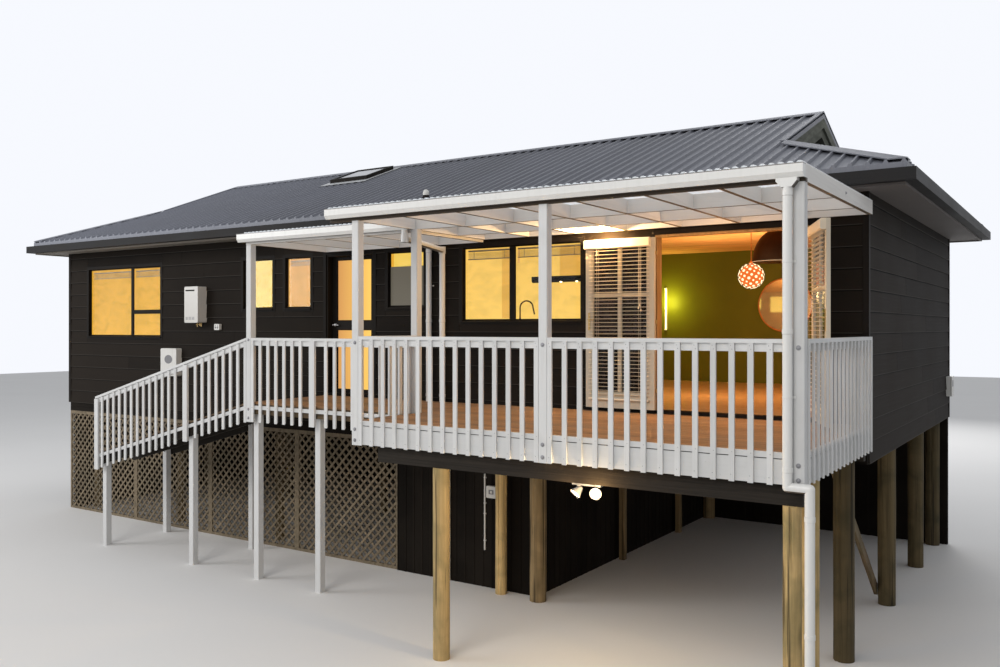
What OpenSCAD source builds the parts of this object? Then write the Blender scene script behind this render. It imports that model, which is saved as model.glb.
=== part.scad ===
// Elevated timber beach house with a front deck, a clear-roofed canopy and a carport beneath.
// House frame: X runs along the front and is 0 at the outer face of the right wall, Y is 0 at the
// outer face of the front wall and grows towards the back, and Z is 0 at the carport ground.

/* [House] */
// Length of the house between the outer faces of its end walls
house_len = 14600; // [13600:100:16000]
// Depth of the house between the outer faces of its front and rear walls
house_dep = 6120; // [5600:20:7000]
// Thickness of the outer walls
wall_t = 140; // [120:5:180]
// Height of the deck surface above the carport ground
deck_z = 2450; // [2300:10:2700]
// Step from the deck up to the floor inside
inside_step = 40; // [20:5:60]
// Thickness of the house floor
floor_t = 60; // [40:5:80]
// Drop from the deck surface to the foot of the wall boards
skirt_drop = 410; // [380:10:450]
// Height of the eaves lining above the deck
soffit_h = 2450; // [2400:10:2600]
// Thickness of the ceiling
ceiling_t = 40; // [20:5:60]

/* [Roof] */
// Rise of the roof for each metre of its run
roof_rise = 389; // [350:1:450]
// Overhang of the roof sheets past the walls
eave_over = 460; // [400:10:520]
// Height of the upper edge of the roof sheets at the eaves, above the deck
eave_h = 2650; // [2640:10:2700]
// Thickness of the roof sheets with their battens
roof_t = 60; // [50:5:80]
// Distance from the end eave in to the small gable
gablet_in = 1650; // [1400:10:1800]
// Depth of the eaves gutter
gutter_h = 125; // [100:5:140]
// Width of the eaves gutter
gutter_w = 115; // [90:5:130]
// Spacing of the ribs of the roof sheets
rib_pitch = 168; // [140:2:200]
// Height of a rib of the roof sheets
rib_h = 28; // [20:1:35]
// Width of the ridge and hip caps on each slope
cap_w = 130; // [100:5:160]

/* [Deck] */
// Length of the deck along the front
deck_len = 4920; // [4600:10:5300]
// Depth of the deck out from the front wall
deck_dep = 2580; // [2300:10:2900]
// Thickness of the deck boards
board_t = 25; // [19:1:40]
// Depth of the deck joists
joist_h = 140; // [120:10:170]
// Thickness of the deck joists
joist_t = 45; // [35:5:50]
// Depth of the beam under the deck's front edge
beam_h = 282; // [240:2:320]
// Height of the hand rail above the deck
rail_h = 930; // [900:10:1000]
// Length of a baluster batten
batten_h = 1200; // [1150:10:1230]
// Width of a baluster batten
batten_w = 50; // [40:1:60]
// Thickness of a baluster batten
batten_t = 20; // [18:1:25]
// Spacing of the baluster battens, from centre to centre
batten_pitch = 152; // [140:1:170]
// Side of a square white post
post_w = 96; // [90:1:110]

/* [Landing] */
// Length of the landing in front of the entry door
landing_len = 2914; // [2600:2:3100]
// Depth of the landing out from the front wall
landing_dep = 1550; // [1400:10:1700]
// Horizontal length of the ramp
ramp_len = 3550; // [3200:10:3600]
// Fall of the ramp for each metre of its length
ramp_fall = 270; // [200:5:300]
// Drop from the deck's hand rail to the landing's hand rail
landing_rail_drop = 45; // [0:5:60]

/* [Canopy] */
// Height of the upper edge of the canopy rafters above the deck
canopy_h = 2350; // [2300:5:2390]
// Depth of a canopy rafter
rafter_h = 145; // [120:5:160]
// Thickness of a canopy rafter
rafter_t = 45; // [35:5:50]
// Spacing of the canopy rafters
rafter_pitch = 686; // [600:1:750]
// Depth of the canopy gutter
canopy_gutter_h = 115; // [100:5:130]
// Depth of the waves in the clear sheets over the canopy
wave_h = 16; // [12:1:20]
// Spacing of the waves in the clear sheets
wave_pitch = 76; // [60:1:100]
// Thickness of the clear sheets
sheet_t = 4; // [3:1:6]
// Drop from the main canopy to the entry canopy
entry_canopy_drop = 35; // [30:5:80]
// Diameter of the downpipes
pipe_d = 80; // [65:5:100]

/* [Under the house] */
// Diameter of the round house poles
pole_d = 220; // [180:5:240]
// Diameter of the round poles under the deck's front edge
front_pole_d = 185; // [150:5:200]
// Distance from the right wall to the carport side wall
carport_w = 4090; // [3800:10:4400]
// Thickness of the carport walls
base_wall_t = 90; // [70:5:120]
// Distance from the right wall to the end of the lattice
lattice_x = 6366; // [6200:2:6600]
// Spacing of the main lattice bars
lattice_pitch = 300; // [250:10:400]
// Width of a lattice bar
lattice_w = 35; // [30:1:45]

/* [Doors and windows] */
// Height of the door and window heads above the deck
head_h = 2130; // [2080:10:2180]
// Distance from the right wall to the right jamb of the French doors
french_x = 489; // [460:1:540]
// Width of the French door opening
french_w = 1904; // [1800:2:1940]
// Thickness of a door leaf
leaf_t = 40; // [35:1:45]
// Gap between a door leaf and its frame
leaf_gap = 5; // [5:1:8]
// Distance from the right wall to the right jamb of the entry door
entry_x = 6830; // [6820:5:6860]
// Width of the entry door opening
entry_w = 940; // [860:5:960]
// Opening angle of the right French leaf as it stands
french_right_open = 113; // [95:1:120]
// Width of a door stile
stile_w = 95; // [80:1:110]
// Thickness of a door or window jamb
jamb_t = 25; // [20:1:40]
// Width of a window frame's face
frame_w = 50; // [35:1:60]

/* [Fittings] */
// Distance from the right wall to the right side of the water heater
heater_x = 10550; // [10400:10:10700]
// Width of the water heater
heater_w = 350; // [300:10:400]
// Height of the water heater
heater_h = 610; // [550:10:700]
// Depth of the water heater
heater_dep = 190; // [160:5:240]
// Height of the foot of the water heater above the deck
heater_up = 1110; // [1000:10:1200]
// Distance from the right wall to the right side of the skylight
skylight_x = 8810; // [8500:10:9000]
// Width of the skylight
skylight_w = 880; // [800:10:1200]
// Diameter of the round mirror on the green wall
mirror_d = 950; // [800:10:1000]
// Diameter of the ball pendant
ball_d = 350; // [300:10:400]
// Diameter of the dome pendant
dome_d = 600; // [500:10:640]
// Distance from the front wall to the lower edge of the skylight
skylight_y = 2050; // [1900:10:2200]
// Length of the skylight in plan, up the slope
skylight_len = 740; // [600:10:800]
// Height of the skylight above the roof
skylight_up = 100; // [80:5:160]
// Diameter of the roof vent
vent_d = 95; // [80:5:120]

/* [Hidden] */

function z_of(h) = deck_z + h;
slop = 1;
soft = 0.3;
inside_z = deck_z + inside_step;
soffit_z = z_of(soffit_h);
eave_z = z_of(eave_h);
skirt_z = deck_z - skirt_drop;
head_z = z_of(head_h);
rise = roof_rise / 1000;
ridge_y = house_dep / 2;
eave_y = -eave_over;
ridge_z = eave_z + (ridge_y - eave_y) * rise;
front_y = -deck_dep;
fascia_t = 25;
fascia_in = 20;
canopy_gutter_w = 90;
rear_out = house_dep + eave_over - fascia_in + gutter_w;
mid_x = -house_len / 2;
mid_y = (rear_out + front_y - canopy_gutter_w) / 2;

// The deck stands past the right wall by this much, and its corner post a little less
over_x = 50;
deck_x0 = over_x - deck_len;
landing_x0 = deck_x0 - landing_len;
landing_y = -landing_dep;
ramp_x0 = landing_x0 - ramp_len;
ramp_rise = ramp_fall / 1000;
ramp_y1 = -200;
stringer_h = 190;
landing_post_ins = [46, 1222];
ramp_post_ins = [60, 2200];
joist_z = deck_z - board_t - joist_h;
beam_z = joist_z - beam_h;
beam_t = 90;
beam_in = 290;
beam_y = front_y + post_w + 10;
rear_beam_z = joist_z - 190;
front_pole_x = 3740;
corner_pole_d = front_pole_d - 25;
side_pole_x = -deck_x0 - beam_in - corner_pole_d / 2;
inner_pole_y = 534;
brace_fall = 0.83;
brace_w = 140;
brace_t = 44;
brace_head = 5;
brace_end = 10;
rail_z = z_of(rail_h);
rail_t = 35;
rail_w = 90;
kick_h = 262;
kick_t = 30;
kick_strip = 50;
kick_slot = 8;
batten_slant = 14;
post_out = 15;
batten_rail_h = 70;
batten_rail_t = 35;
edge_in = batten_t + kick_t;
foot_z = rail_z - batten_h;
canopy_z = z_of(canopy_h);
entry_canopy_z = canopy_z - entry_canopy_drop;
canopy_left = 330;
gutter_t = 5;
entry_pipe_x = 5534;
second_pipe_x = 5768;
branch_drop = 75;
outlet_in = 55;
collar_d = pipe_d + 14;
pipe_gap = 2;
pipe_in = 77;
hopper_w = 170;
hopper_h = 75;
gutter_drop = 2;
sheet_over = 50;
blocking_y = 1080;
blocking_step = 850;

// Rows of round poles along the house, measured from the front wall
pole_rows = [-140, 2160, 4320, house_dep - 200];
pole_in = 205;
square_post_w = 90;
square_post_in = 115;
left_pole_x = -carport_w + base_wall_t / 2 + pole_d / 2;
pile_in = 300;
pile_span = house_len - lattice_x - 2 * pile_in;
pile_xs = [for (i = [0 : 3]) -lattice_x - pile_in - i * pile_span / 3];
pile_rows = [400, 3000, house_dep - 400];
bearer_h = 250;
bearer_w = 90;
pile_d = 150;
house_joists = 10;
joist_in = 120;
lattice_y = 10;
lattice_t = 30;
lattice_band = 160;

w1_in = 640;
w1_w = 2167;

// Where each window lies: [distance of its right jamb from the right wall, width, sill height
// above the deck, head height above the deck, distance from the right jamb to the middle of its
// upright bar or 0 for none, height of its cross bar above the deck or 0 for none]
living_window = [3392, 1823, 1125, head_h - 20, 1021, 0];
w4 = [5891, 650, 1330, head_h - 20, 0, 0];
w3 = [8103, 548, 1340, head_h - 10, 0, 0];
w2 = [8946, 682, 1340, head_h - 10, 0, 0];
w1 = [house_len - w1_in - w1_w, w1_w, 880, head_h - 10, 832, 1305];
rear_windows = [[6600, 1200, 1130, head_h, 600, 0], [9200, 700, 1340, head_h, 0, 0],
  [11400, 1800, 880, head_h, 900, 0]];

black = [0.075, 0.07, 0.07];
white = [0.86, 0.87, 0.88];
slate = [0.33, 0.36, 0.42];
cream = [0.85, 0.82, 0.74];
timber = [0.42, 0.33, 0.24];
pole_colour = [0.55, 0.47, 0.33];
glow = [0.98, 0.80, 0.42];
deck_brown = [0.55, 0.38, 0.24];
lattice_grey = [0.45, 0.42, 0.38];

module place() translate([-mid_x, -mid_y, 0]) children();

module slab(x0, x1, y0, y1, z0, z1) translate([x0, y0, z0]) cube([x1 - x0, y1 - y0, z1 - z0]);

// A profile in the YZ plane drawn out along X
module along_x(x0, x1) translate([x0, 0, 0]) rotate([90, 0, 90]) linear_extrude(x1 - x0) children();

// A profile in the XZ plane drawn out along Y
module along_y(y0, y1) translate([0, y1, 0]) rotate([90, 0, 0]) linear_extrude(y1 - y0) children();

module pole(x, y, top, d = pole_d) translate([x, y, 0]) cylinder(h = top, d = d, $fn = 32);

// Under the house

module front_poles() color(pole_colour) place() {
  pole(-front_pole_x, beam_y + beam_t / 2, beam_z, front_pole_d);
  corner_x = over_x - edge_in - corner_pole_d / 2;
  pole(corner_x - 20, beam_y + beam_t / 2, beam_z, corner_pole_d);
  pole(corner_x - soft, beam_y + inner_pole_y, joist_z, corner_pole_d);
  pole(-side_pole_x, pole_rows[0], rear_beam_z, corner_pole_d);
}

module row_pole(x, i) pole(x, pole_rows[i], i == 0 ? rear_beam_z : skirt_z);

module right_poles() color(pole_colour * 0.7) place()
  for (i = [0 : len(pole_rows) - 1]) row_pole(-pole_in, i);

// Beside the carport side wall two square posts stand between the round poles
module left_poles() color(pole_colour * 0.8) place() {
  for (i = [0, len(pole_rows) - 1]) row_pole(left_pole_x, i);
  for (i = [1 : len(pole_rows) - 2])
    slab(left_pole_x - square_post_w / 2, left_pole_x + square_post_w / 2,
      pole_rows[i] + square_post_in, pole_rows[i] + square_post_in + square_post_w, 0, skirt_z);
  for (x = pile_xs, y = pile_rows) pole(x, y, skirt_z, pile_d);
}

// Height of the brace's upper edge where it passes a distance behind the front wall
function brace_top(y) = skirt_z - brace_head - brace_fall * y;

// A brace on the inner side of the right poles, from the first one's head to the next one's foot
module knee_brace() color(timber) place() {
  x1 = -pole_in - pole_d / 2 - soft;
  y0 = pole_rows[0] - brace_end;
  y1 = pole_rows[1] + brace_end;
  head = rear_beam_z - soft;
  along_x(x1 - brace_t, x1) polygon([[y0, head], [(brace_top(0) - head) / brace_fall, head],
    [y1, brace_top(y1)], [y1, brace_top(y1) - brace_w], [y0, brace_top(y0) - brace_w]]);
}

module floor_frame() color(timber * 0.7) place() {
  for (x = concat([-pole_in, left_pole_x], pile_xs))
    slab(x - bearer_w / 2, x + bearer_w / 2, wall_t, house_dep - wall_t, skirt_z,
      skirt_z + bearer_h - soft);
  for (i = [0 : house_joists - 1]) {
    y = wall_t + joist_in + i * (house_dep - 2 * (wall_t + joist_in) - joist_t) / (house_joists - 1);
    slab(-house_len + wall_t, -wall_t, y, y + joist_t, skirt_z + bearer_h, inside_z - floor_t);
  }
}

module carport_front_wall() color(black) place()
  slab(-lattice_x, -carport_w - base_wall_t / 2, 0, base_wall_t, 0, skirt_z);

module carport_side_wall() color(black) place()
  slab(-carport_w - base_wall_t / 2, -carport_w + base_wall_t / 2, 0, house_dep - base_wall_t,
    0, skirt_z);

module rear_base_wall() color(black) place()
  slab(-house_len, 0, house_dep - base_wall_t, house_dep, 0, skirt_z);

module left_base_wall() color(black) place()
  slab(-house_len, -house_len + base_wall_t, base_wall_t, house_dep - base_wall_t, 0, skirt_z);

// A framed lattice panel of crossed slats under a tall head board, standing in the plane y = 0
module lattice_panel(x0, x1, z0, z1) {
  edge = lattice_w * 1.7;
  reach = (x1 - x0 + z1 - z0) * 1.5;
  n = ceil((x1 - x0 + z1 - z0) / lattice_pitch);
  translate([x0, lattice_y + lattice_t, z0]) rotate([90, 0, 0]) linear_extrude(lattice_t) {
    difference() {
      square([x1 - x0, z1 - z0]);
      translate([edge, edge])
        square([x1 - x0 - 2 * edge, z1 - z0 - 2 * edge - lattice_band]);
    }
    intersection() {
      square([x1 - x0, z1 - z0]);
      for (k = [0 : n]) {
        translate([k * lattice_pitch, 0]) rotate(45) square([2 * reach, lattice_w], center = true);
        translate([k * lattice_pitch - (z1 - z0), 0]) rotate(-45)
          square([2 * reach, lattice_w], center = true);
      }
    }
  }
}

lattice_bay = (house_len - lattice_x) / 4;

module lattice_left() color(lattice_grey) place() {
  lattice_panel(-house_len, -house_len + lattice_bay, 0, skirt_z);
  lattice_panel(-house_len + lattice_bay + soft, -house_len + 2 * lattice_bay, 0, skirt_z);
}

module lattice_right() color(lattice_grey) place() {
  lattice_panel(-lattice_x - 2 * lattice_bay + soft, -lattice_x - lattice_bay, 0, skirt_z);
  lattice_panel(-lattice_x - lattice_bay + soft, -lattice_x, 0, skirt_z);
}

// The deck, the landing and the ramp

// The beam behind the front posts, and a lower one on the poles beside the house
module deck_beam() color(timber * 0.6) place() {
  slab(deck_x0 + beam_in, over_x - edge_in, beam_y, beam_y + beam_t, beam_z, joist_z);
  slab(-side_pole_x - corner_pole_d / 2, over_x - edge_in, pole_rows[0] - beam_t / 2,
    pole_rows[0] + beam_t / 2, rear_beam_z, joist_z);
}

// The square posts of the canopies that pass the deck's edge, grown by a clearance
module edge_posts(clear = 0) {
  for (x = [post1_x, post2_x, post3_x])
    slab(x - clear, x + post_w + clear, front_y - clear, front_y + post_w + clear, foot_z,
      canopy_z - rafter_h);
  slab(deck_x0 - clear, deck_x0 + post_w + clear, landing_y - clear, landing_y + post_w + clear,
    foot_z, canopy_z - rafter_h);
  slab(landing_x0 - clear, landing_x0 + post_w + clear, landing_y - clear,
    landing_y + post_w + clear, foot_z, entry_canopy_z - rafter_h);
}

module deck_joists() color(timber * 0.8) place() difference() {
  top = deck_z - board_t;
  union() {
    slab(deck_x0 + edge_in, over_x - edge_in, front_y + edge_in, front_y + edge_in + joist_t,
      joist_z, top);
    slab(landing_x0, deck_x0, landing_y + edge_in, landing_y + edge_in + joist_t, joist_z, top);
    for (i = [0 : 11]) {
      x = deck_x0 + edge_in + i * (deck_len - 2 * edge_in - joist_t) / 11;
      slab(x, x + joist_t, front_y + edge_in, -soft, joist_z, top);
    }
    for (i = [0 : 6]) {
      x = landing_x0 + i * (landing_len - joist_t) / 6;
      slab(x, x + joist_t, landing_y + edge_in, -soft, joist_z, top);
    }
  }
  edge_posts(soft);
}

// Beside the landing the deck boards run to the deck's end, and past it the balustrade stands there
module deck_boards() color(deck_brown) place() difference() {
  slab(deck_x0 + soft, over_x - edge_in, front_y + edge_in, 0, deck_z - board_t, deck_z);
  slab(deck_x0 - slop, deck_x0 + edge_in, front_y, landing_y, deck_z - board_t - slop,
    deck_z + slop);
  edge_posts(soft);
}

module landing_boards() color(deck_brown) place() difference() {
  slab(landing_x0, deck_x0, landing_y + edge_in, 0, deck_z - board_t, deck_z);
  edge_posts(soft);
}

module ramp_boards() color(deck_brown) place() {
  ramp_drop = ramp_len * ramp_rise;
  under = deck_z - board_t;
  along_y(landing_y + edge_in, ramp_y1) polygon([[landing_x0, under], [landing_x0, deck_z],
    [ramp_x0, deck_z - ramp_drop], [ramp_x0, under - ramp_drop]]);
  for (y = [landing_y + edge_in, ramp_y1 - joist_t])
    along_y(y, y + joist_t) polygon([[landing_x0, under - stringer_h], [landing_x0, under],
      [ramp_x0, under - ramp_drop], [ramp_x0, under - ramp_drop - stringer_h]]);
}

// A board of a balustrade between two depths below the top of its rail
module fall_board(length, fall, y0, y1, top, foot) along_y(y0, y1)
  polygon([[0, -fall * length - top], [length, -top], [length, -foot],
    [0, -fall * length - foot]]);

// A balustrade along +X from the origin: battens with slanted feet outside a top rail and a kick
// board split by a slot, with the rail's top at z = 0; fall tilts it down towards -X
module balustrade(length, fall = 0, high = batten_h, kick = kick_h, posts = []) {
  n = floor((length - batten_w) / batten_pitch);
  step = (length - batten_w) / n;
  split = rail_h + kick_strip;
  fall_board(length, fall, 0, rail_w, 0, rail_t);
  fall_board(length, fall, batten_t, batten_t + batten_rail_t, rail_t, rail_t + batten_rail_h);
  fall_board(length, fall, batten_t, batten_t + kick_t, rail_h, split);
  if (rail_h + kick > split + kick_slot)
    fall_board(length, fall, batten_t, batten_t + kick_t, split + kick_slot, rail_h + kick);
  for (i = [0 : n]) {
    x = i * step;
    drop = fall * (length - x);
    top = -drop - (rail_t - fall * batten_w) / 2;
    along_x(x, x + batten_w) polygon([[0, -drop - high], [batten_t, batten_slant - drop - high],
      [batten_t, top], [0, top]]);
  }
  for (x = posts) {
    drop = fall * (length - x);
    slab(x, x + post_w, -post_out, batten_t, -drop - high, -drop - (rail_t - fall * post_w) / 2);
  }
}

post1_x = deck_x0;
post3_x = over_x - 10 - post_w;
post2_x = (post1_x + post3_x) / 2;

module front_balustrade_left() color(white) place()
  translate([post1_x + post_w + soft, front_y, rail_z])
    balustrade(post2_x - post1_x - post_w - 2 * soft);

module front_balustrade_right() color(white) place()
  translate([post2_x + post_w + soft, front_y, rail_z])
    balustrade(post3_x - post2_x - post_w - 2 * soft);

module right_balustrade() color(white) place()
  translate([over_x, front_y + post_w + soft, rail_z]) rotate([0, 0, 90])
    balustrade(deck_dep - post_w - 2 * soft);

module deck_end_balustrade() color(white) place()
  translate([deck_x0, landing_y - soft, rail_z]) rotate([0, 0, -90])
    balustrade(deck_dep - landing_dep - post_w - 2 * soft);

module landing_balustrade() color(white) place()
  translate([landing_x0 + post_w + soft, landing_y, rail_z - landing_rail_drop])
    balustrade(landing_len - post_w - 2 * soft, 0, batten_h - landing_rail_drop, kick_strip,
      [landing_post_ins[1] - post_w]);

module ramp_balustrade() color(white) place()
  translate([ramp_x0, landing_y, rail_z - landing_rail_drop])
    balustrade(ramp_len - soft, ramp_rise, batten_h - landing_rail_drop, kick_strip,
      [0, ramp_post_ins[1]]);

module landing_posts() color(white) place() {
  y0 = landing_y + max(edge_in + joist_t, post_w + soft);
  for (in = landing_post_ins)
    slab(landing_x0 + in, landing_x0 + in + post_w, y0, y0 + post_w, 0, deck_z - board_t);
  for (in = ramp_post_ins, y = [y0, ramp_y1 - joist_t - post_w])
    slab(ramp_x0 + in, ramp_x0 + in + post_w, y, y + post_w, 0,
      deck_z - board_t - (ramp_len - in) * ramp_rise);
}

// The canopies

module canopy_posts() color(white) place() edge_posts();

module canopy_frame() color(white) place() {
  z0 = canopy_z - rafter_h;
  n = round((over_x - deck_x0 - rafter_t) / rafter_pitch);
  step = (over_x - deck_x0 - rafter_t) / n;
  slab(deck_x0 - canopy_left, over_x, front_y, front_y + rafter_t, z0, canopy_z);
  slab(deck_x0, over_x, -rafter_t, 0, z0, canopy_z);
  for (i = [0 : n])
    slab(deck_x0 + i * step, deck_x0 + i * step + rafter_t, front_y, 0, z0, canopy_z);
  for (i = [0 : n - 1], row = [0, 1]) {
    y = front_y + blocking_y + row * blocking_step + (i % 2) * rafter_t;
    slab(deck_x0 + i * step, deck_x0 + (i + 1) * step, y, y + rafter_t, z0, canopy_z);
  }
}

// Points along the waves of a sheet from x0 to x1, at height z
function waves(x0, x1, z) = let (n = floor((x1 - x0) / wave_pitch), step = (x1 - x0) / n)
  concat([[x0, z]], [for (i = [0 : n - 1], p = [[0.15, 0], [0.35, 1], [0.65, 1], [0.85, 0]])
    [x0 + (i + p[0]) * step, z + p[1] * wave_h]], [[x1, z]]);

function reversed(list) = [for (i = [len(list) - 1 : -1 : 0]) list[i]];

module wavy_sheet(x0, x1, y0, y1, z) along_y(y0, y1)
  polygon(concat(waves(x0, x1, z + sheet_t), reversed(waves(x0, x1, z))));

module canopy_sheets() color([0.9, 0.93, 0.95, 0.6]) place() {
  wavy_sheet(deck_x0 - canopy_left, over_x, front_y - sheet_over, 0, canopy_z);
  wavy_sheet(landing_x0, deck_x0 - soft, landing_y - sheet_over, 0, entry_canopy_z);
}

// Section of a gutter with a flat back at y = 0 and a belly towards -Y
module gutter_outline(w, h) polygon([[0, 0], [0, h], [-w, h], [-w, h * 0.35], [-w * 0.7, 0]]);

module gutter_profile(w, h) difference() {
  gutter_outline(w, h);
  translate([-gutter_t, gutter_t]) polygon([[0, 0], [0, h], [-w + 2 * gutter_t, h],
    [-w + 2 * gutter_t, h * 0.35], [-w * 0.7 + gutter_t, 0]]);
}

// A closed-ended length of the canopy gutter from x0 to x1, its top at z = 0
module canopy_gutter(x0, x1) translate([0, 0, -canopy_gutter_h]) {
  along_x(x0, x1) gutter_profile(canopy_gutter_w, canopy_gutter_h);
  for (x = [x0, x1 - gutter_t]) along_x(x, x + gutter_t)
    gutter_outline(canopy_gutter_w, canopy_gutter_h);
}

module canopy_gutters() color(white) place() {
  translate([0, front_y, canopy_z - gutter_drop]) canopy_gutter(deck_x0 - canopy_left, over_x);
  translate([0, landing_y, entry_canopy_z - gutter_drop])
    canopy_gutter(landing_x0 - canopy_gutter_w, deck_x0 - soft);
}

// The main downpipe steps out past the deck's corner at the foot of the battens
module downpipes() color(white) place() {
  x0 = post3_x + post_w / 2 - pipe_in;
  x1 = over_x + pipe_d / 2 + pipe_gap;
  y = front_y - pipe_d / 2 - pipe_gap;
  top = canopy_z - gutter_drop - canopy_gutter_h;
  translate([x0, y, foot_z]) cylinder(h = top - foot_z, d = pipe_d, $fn = 32);
  along_y(y - pipe_d / 2, y + pipe_d / 2) polygon([[x0 - hopper_w / 2, top],
    [x0 + hopper_w / 2, top], [x0 + hopper_w / 2, top - hopper_h / 3],
    [x0 + pipe_d / 2 + pipe_gap, top - hopper_h], [x0 - pipe_d / 2 - pipe_gap, top - hopper_h],
    [x0 - hopper_w / 2, top - hopper_h / 3]]);
  translate([x1, y, 0]) cylinder(h = foot_z, d = pipe_d, $fn = 32);
  translate([x0, y, foot_z]) rotate([0, 90, 0]) cylinder(h = x1 - x0, d = pipe_d, $fn = 32);
  for (x = [x0, x1]) translate([x, y, foot_z]) sphere(d = pipe_d, $fn = 24);
  branch_pipe();
  translate([-second_pipe_x, wall_pipe_y, deck_z])
    cylinder(h = entry_canopy_z - rafter_h - deck_z, d = pipe_d, $fn = 32);
}

wall_pipe_y = -collar_d / 2 - soft;

// From the entry gutter's end a branch runs back under the rafters to a pipe at the wall
module branch_pipe() {
  z = entry_canopy_z - rafter_h - branch_drop;
  top = entry_canopy_z - gutter_drop - canopy_gutter_h;
  out = [deck_x0 - soft - outlet_in, landing_y - canopy_gutter_w / 2];
  run = [-entry_pipe_x, wall_pipe_y] - out;
  translate([out.x, out.y, z]) {
    cylinder(h = top - z, d = pipe_d, $fn = 32);
    rotate([0, 90, atan2(run.y, run.x)]) cylinder(h = norm(run), d = pipe_d, $fn = 32);
    collar();
  }
  translate([-entry_pipe_x, wall_pipe_y, z]) collar();
  translate([-entry_pipe_x, wall_pipe_y, deck_z]) cylinder(h = z - deck_z, d = pipe_d, $fn = 32);
}

module collar() translate([0, 0, -collar_d / 2]) cylinder(h = collar_d, d = collar_d, $fn = 32);

module entry_canopy_frame() color(white) place() {
  z0 = entry_canopy_z - rafter_h;
  n = 4;
  step = (landing_len - rafter_t) / n;
  slab(landing_x0, deck_x0 - soft, landing_y, landing_y + rafter_t, z0, entry_canopy_z);
  slab(landing_x0, deck_x0 - soft, -rafter_t, 0, z0, entry_canopy_z);
  for (i = [0 : n])
    slab(landing_x0 + i * step, landing_x0 + i * step + rafter_t - soft, landing_y, 0, z0,
      entry_canopy_z);
}

// The house

module floor() color(timber) place()
  slab(-house_len + wall_t, -wall_t, wall_t, house_dep - wall_t, inside_z - floor_t, inside_z);

module front_wall_base() color(black) place()
  slab(-house_len, 0, 0, wall_t, skirt_z, inside_z);

// A hole for a window given by its place in the front or rear wall
module window_hole(w, y0, y1)
  slab(-w[0] - w[1], -w[0], y0 - slop, y1 + slop, z_of(w[2]), z_of(w[3]));

french_x0 = -french_x - french_w;
french_x1 = -french_x;
entry_x0 = -entry_x - entry_w;
entry_x1 = -entry_x;

module front_wall_left() color(black) place() difference() {
  slab(-house_len, entry_x0, 0, wall_t, inside_z, soffit_z);
  for (w = [w1, w2, w3]) window_hole(w, 0, wall_t);
}

module front_wall_middle() color(black) place() difference() {
  slab(entry_x1, french_x0, 0, wall_t, inside_z, soffit_z);
  for (w = [w4, living_window]) window_hole(w, 0, wall_t);
}

module front_wall_corner() color(black) place()
  slab(french_x1, 0, 0, wall_t, inside_z, soffit_z);

module front_wall_heads() color(black) place() {
  slab(entry_x0, entry_x1, 0, wall_t, head_z, soffit_z);
  slab(french_x0, french_x1, 0, wall_t, head_z, soffit_z);
}

module right_wall() color(black) place()
  slab(-wall_t, 0, wall_t, house_dep - wall_t, skirt_z, soffit_z);

module left_wall() color(black) place()
  slab(-house_len, -house_len + wall_t, wall_t, house_dep - wall_t, skirt_z, soffit_z);

module rear_wall() color(black) place() difference() {
  slab(-house_len, 0, house_dep - wall_t, house_dep, skirt_z, soffit_z);
  for (w = rear_windows) window_hole(w, house_dep - wall_t, house_dep);
}

green_t = 20;
green_len = 5300;
module green_wall() color([0.22, 0.24, 0.08]) place()
  slab(-green_len, -wall_t, house_dep - wall_t - green_t, house_dep - wall_t, inside_z,
    soffit_z - ceiling_t);

module ceiling() color([0.8, 0.5, 0.25]) place()
  slab(-house_len + wall_t, -wall_t, wall_t, house_dep - wall_t, soffit_z - ceiling_t, soffit_z);

// The roof

soffit_t = 12;
fascia_drop = 20;
gutter_below = 8;

// A square ring round the whole house, its outer edge let in from the edge of the roof
module ring(inset, t, z0, z1) difference() {
  slab(-house_len - eave_over + inset, eave_over - inset, eave_y + inset,
    house_dep + eave_over - inset, z0, z1);
  slab(-house_len - eave_over + inset + t, eave_over - inset - t, eave_y + inset + t,
    house_dep + eave_over - inset - t, z0 - slop, z1 + slop);
}

module soffit() color(white * 0.7) place() {
  ring(fascia_in + fascia_t, eave_over - fascia_in - fascia_t + wall_t / 2, soffit_z,
    soffit_z + soffit_t);
  ring(fascia_in, fascia_t, soffit_z - fascia_drop, eave_z - roof_t + fascia_in * rise);
}

module eaves_gutter() color(black) place() difference() {
  top = eave_z - roof_t - gutter_below;
  ring(fascia_in - gutter_w, gutter_w, top - gutter_h, top);
  ring(fascia_in - gutter_w + gutter_t, gutter_w - 2 * gutter_t, top - gutter_h + gutter_t,
    top + slop);
}

gab_x1 = eave_over - gablet_in;
gab_x0 = -house_len - eave_over + gablet_in;
gab_y = eave_y + gablet_in;
rear_eave_y = house_dep + eave_over;
end_x = eave_over;
start_x = -house_len - eave_over;

// Plan outline of the front slope, up to its hips, small gables and ridge
module front_plan() polygon([[start_x, eave_y], [end_x, eave_y], [gab_x1, gab_y],
  [gab_x1, ridge_y], [gab_x0, ridge_y], [gab_x0, gab_y]]);

module tall() translate([0, 0, soffit_z]) linear_extrude(2 * ridge_z - soffit_z) children();

pitch_angle = atan(rise);
slope_len = (ridge_y - eave_y) / cos(pitch_angle);
rib_top = 22;
rib_foot = 58;

// Outline of the ribs between x0 and x1, from right to left
function ribs(x0, x1) = let (n = floor((x1 - x0 - rib_foot) / rib_pitch),
    edge = (x1 - x0 - n * rib_pitch) / 2)
  [for (i = [n : -1 : 0], p = [[rib_foot, 0], [rib_top, rib_h], [-rib_top, rib_h], [-rib_foot, 0]])
    [x0 + edge + i * rib_pitch + p[0] / 2, p[1]]];

// A ribbed sheet on its battens, level, with its ribs along +Y and its pans at z = 0
module ribbed_sheet(x0, x1) {
  low = -roof_t * cos(pitch_angle);
  along_y(-roof_t, slope_len + roof_t) polygon(concat([[x0, low], [x1, low], [x1, 0]],
    ribs(x0, x1), [[x0, 0]]));
}

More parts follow.
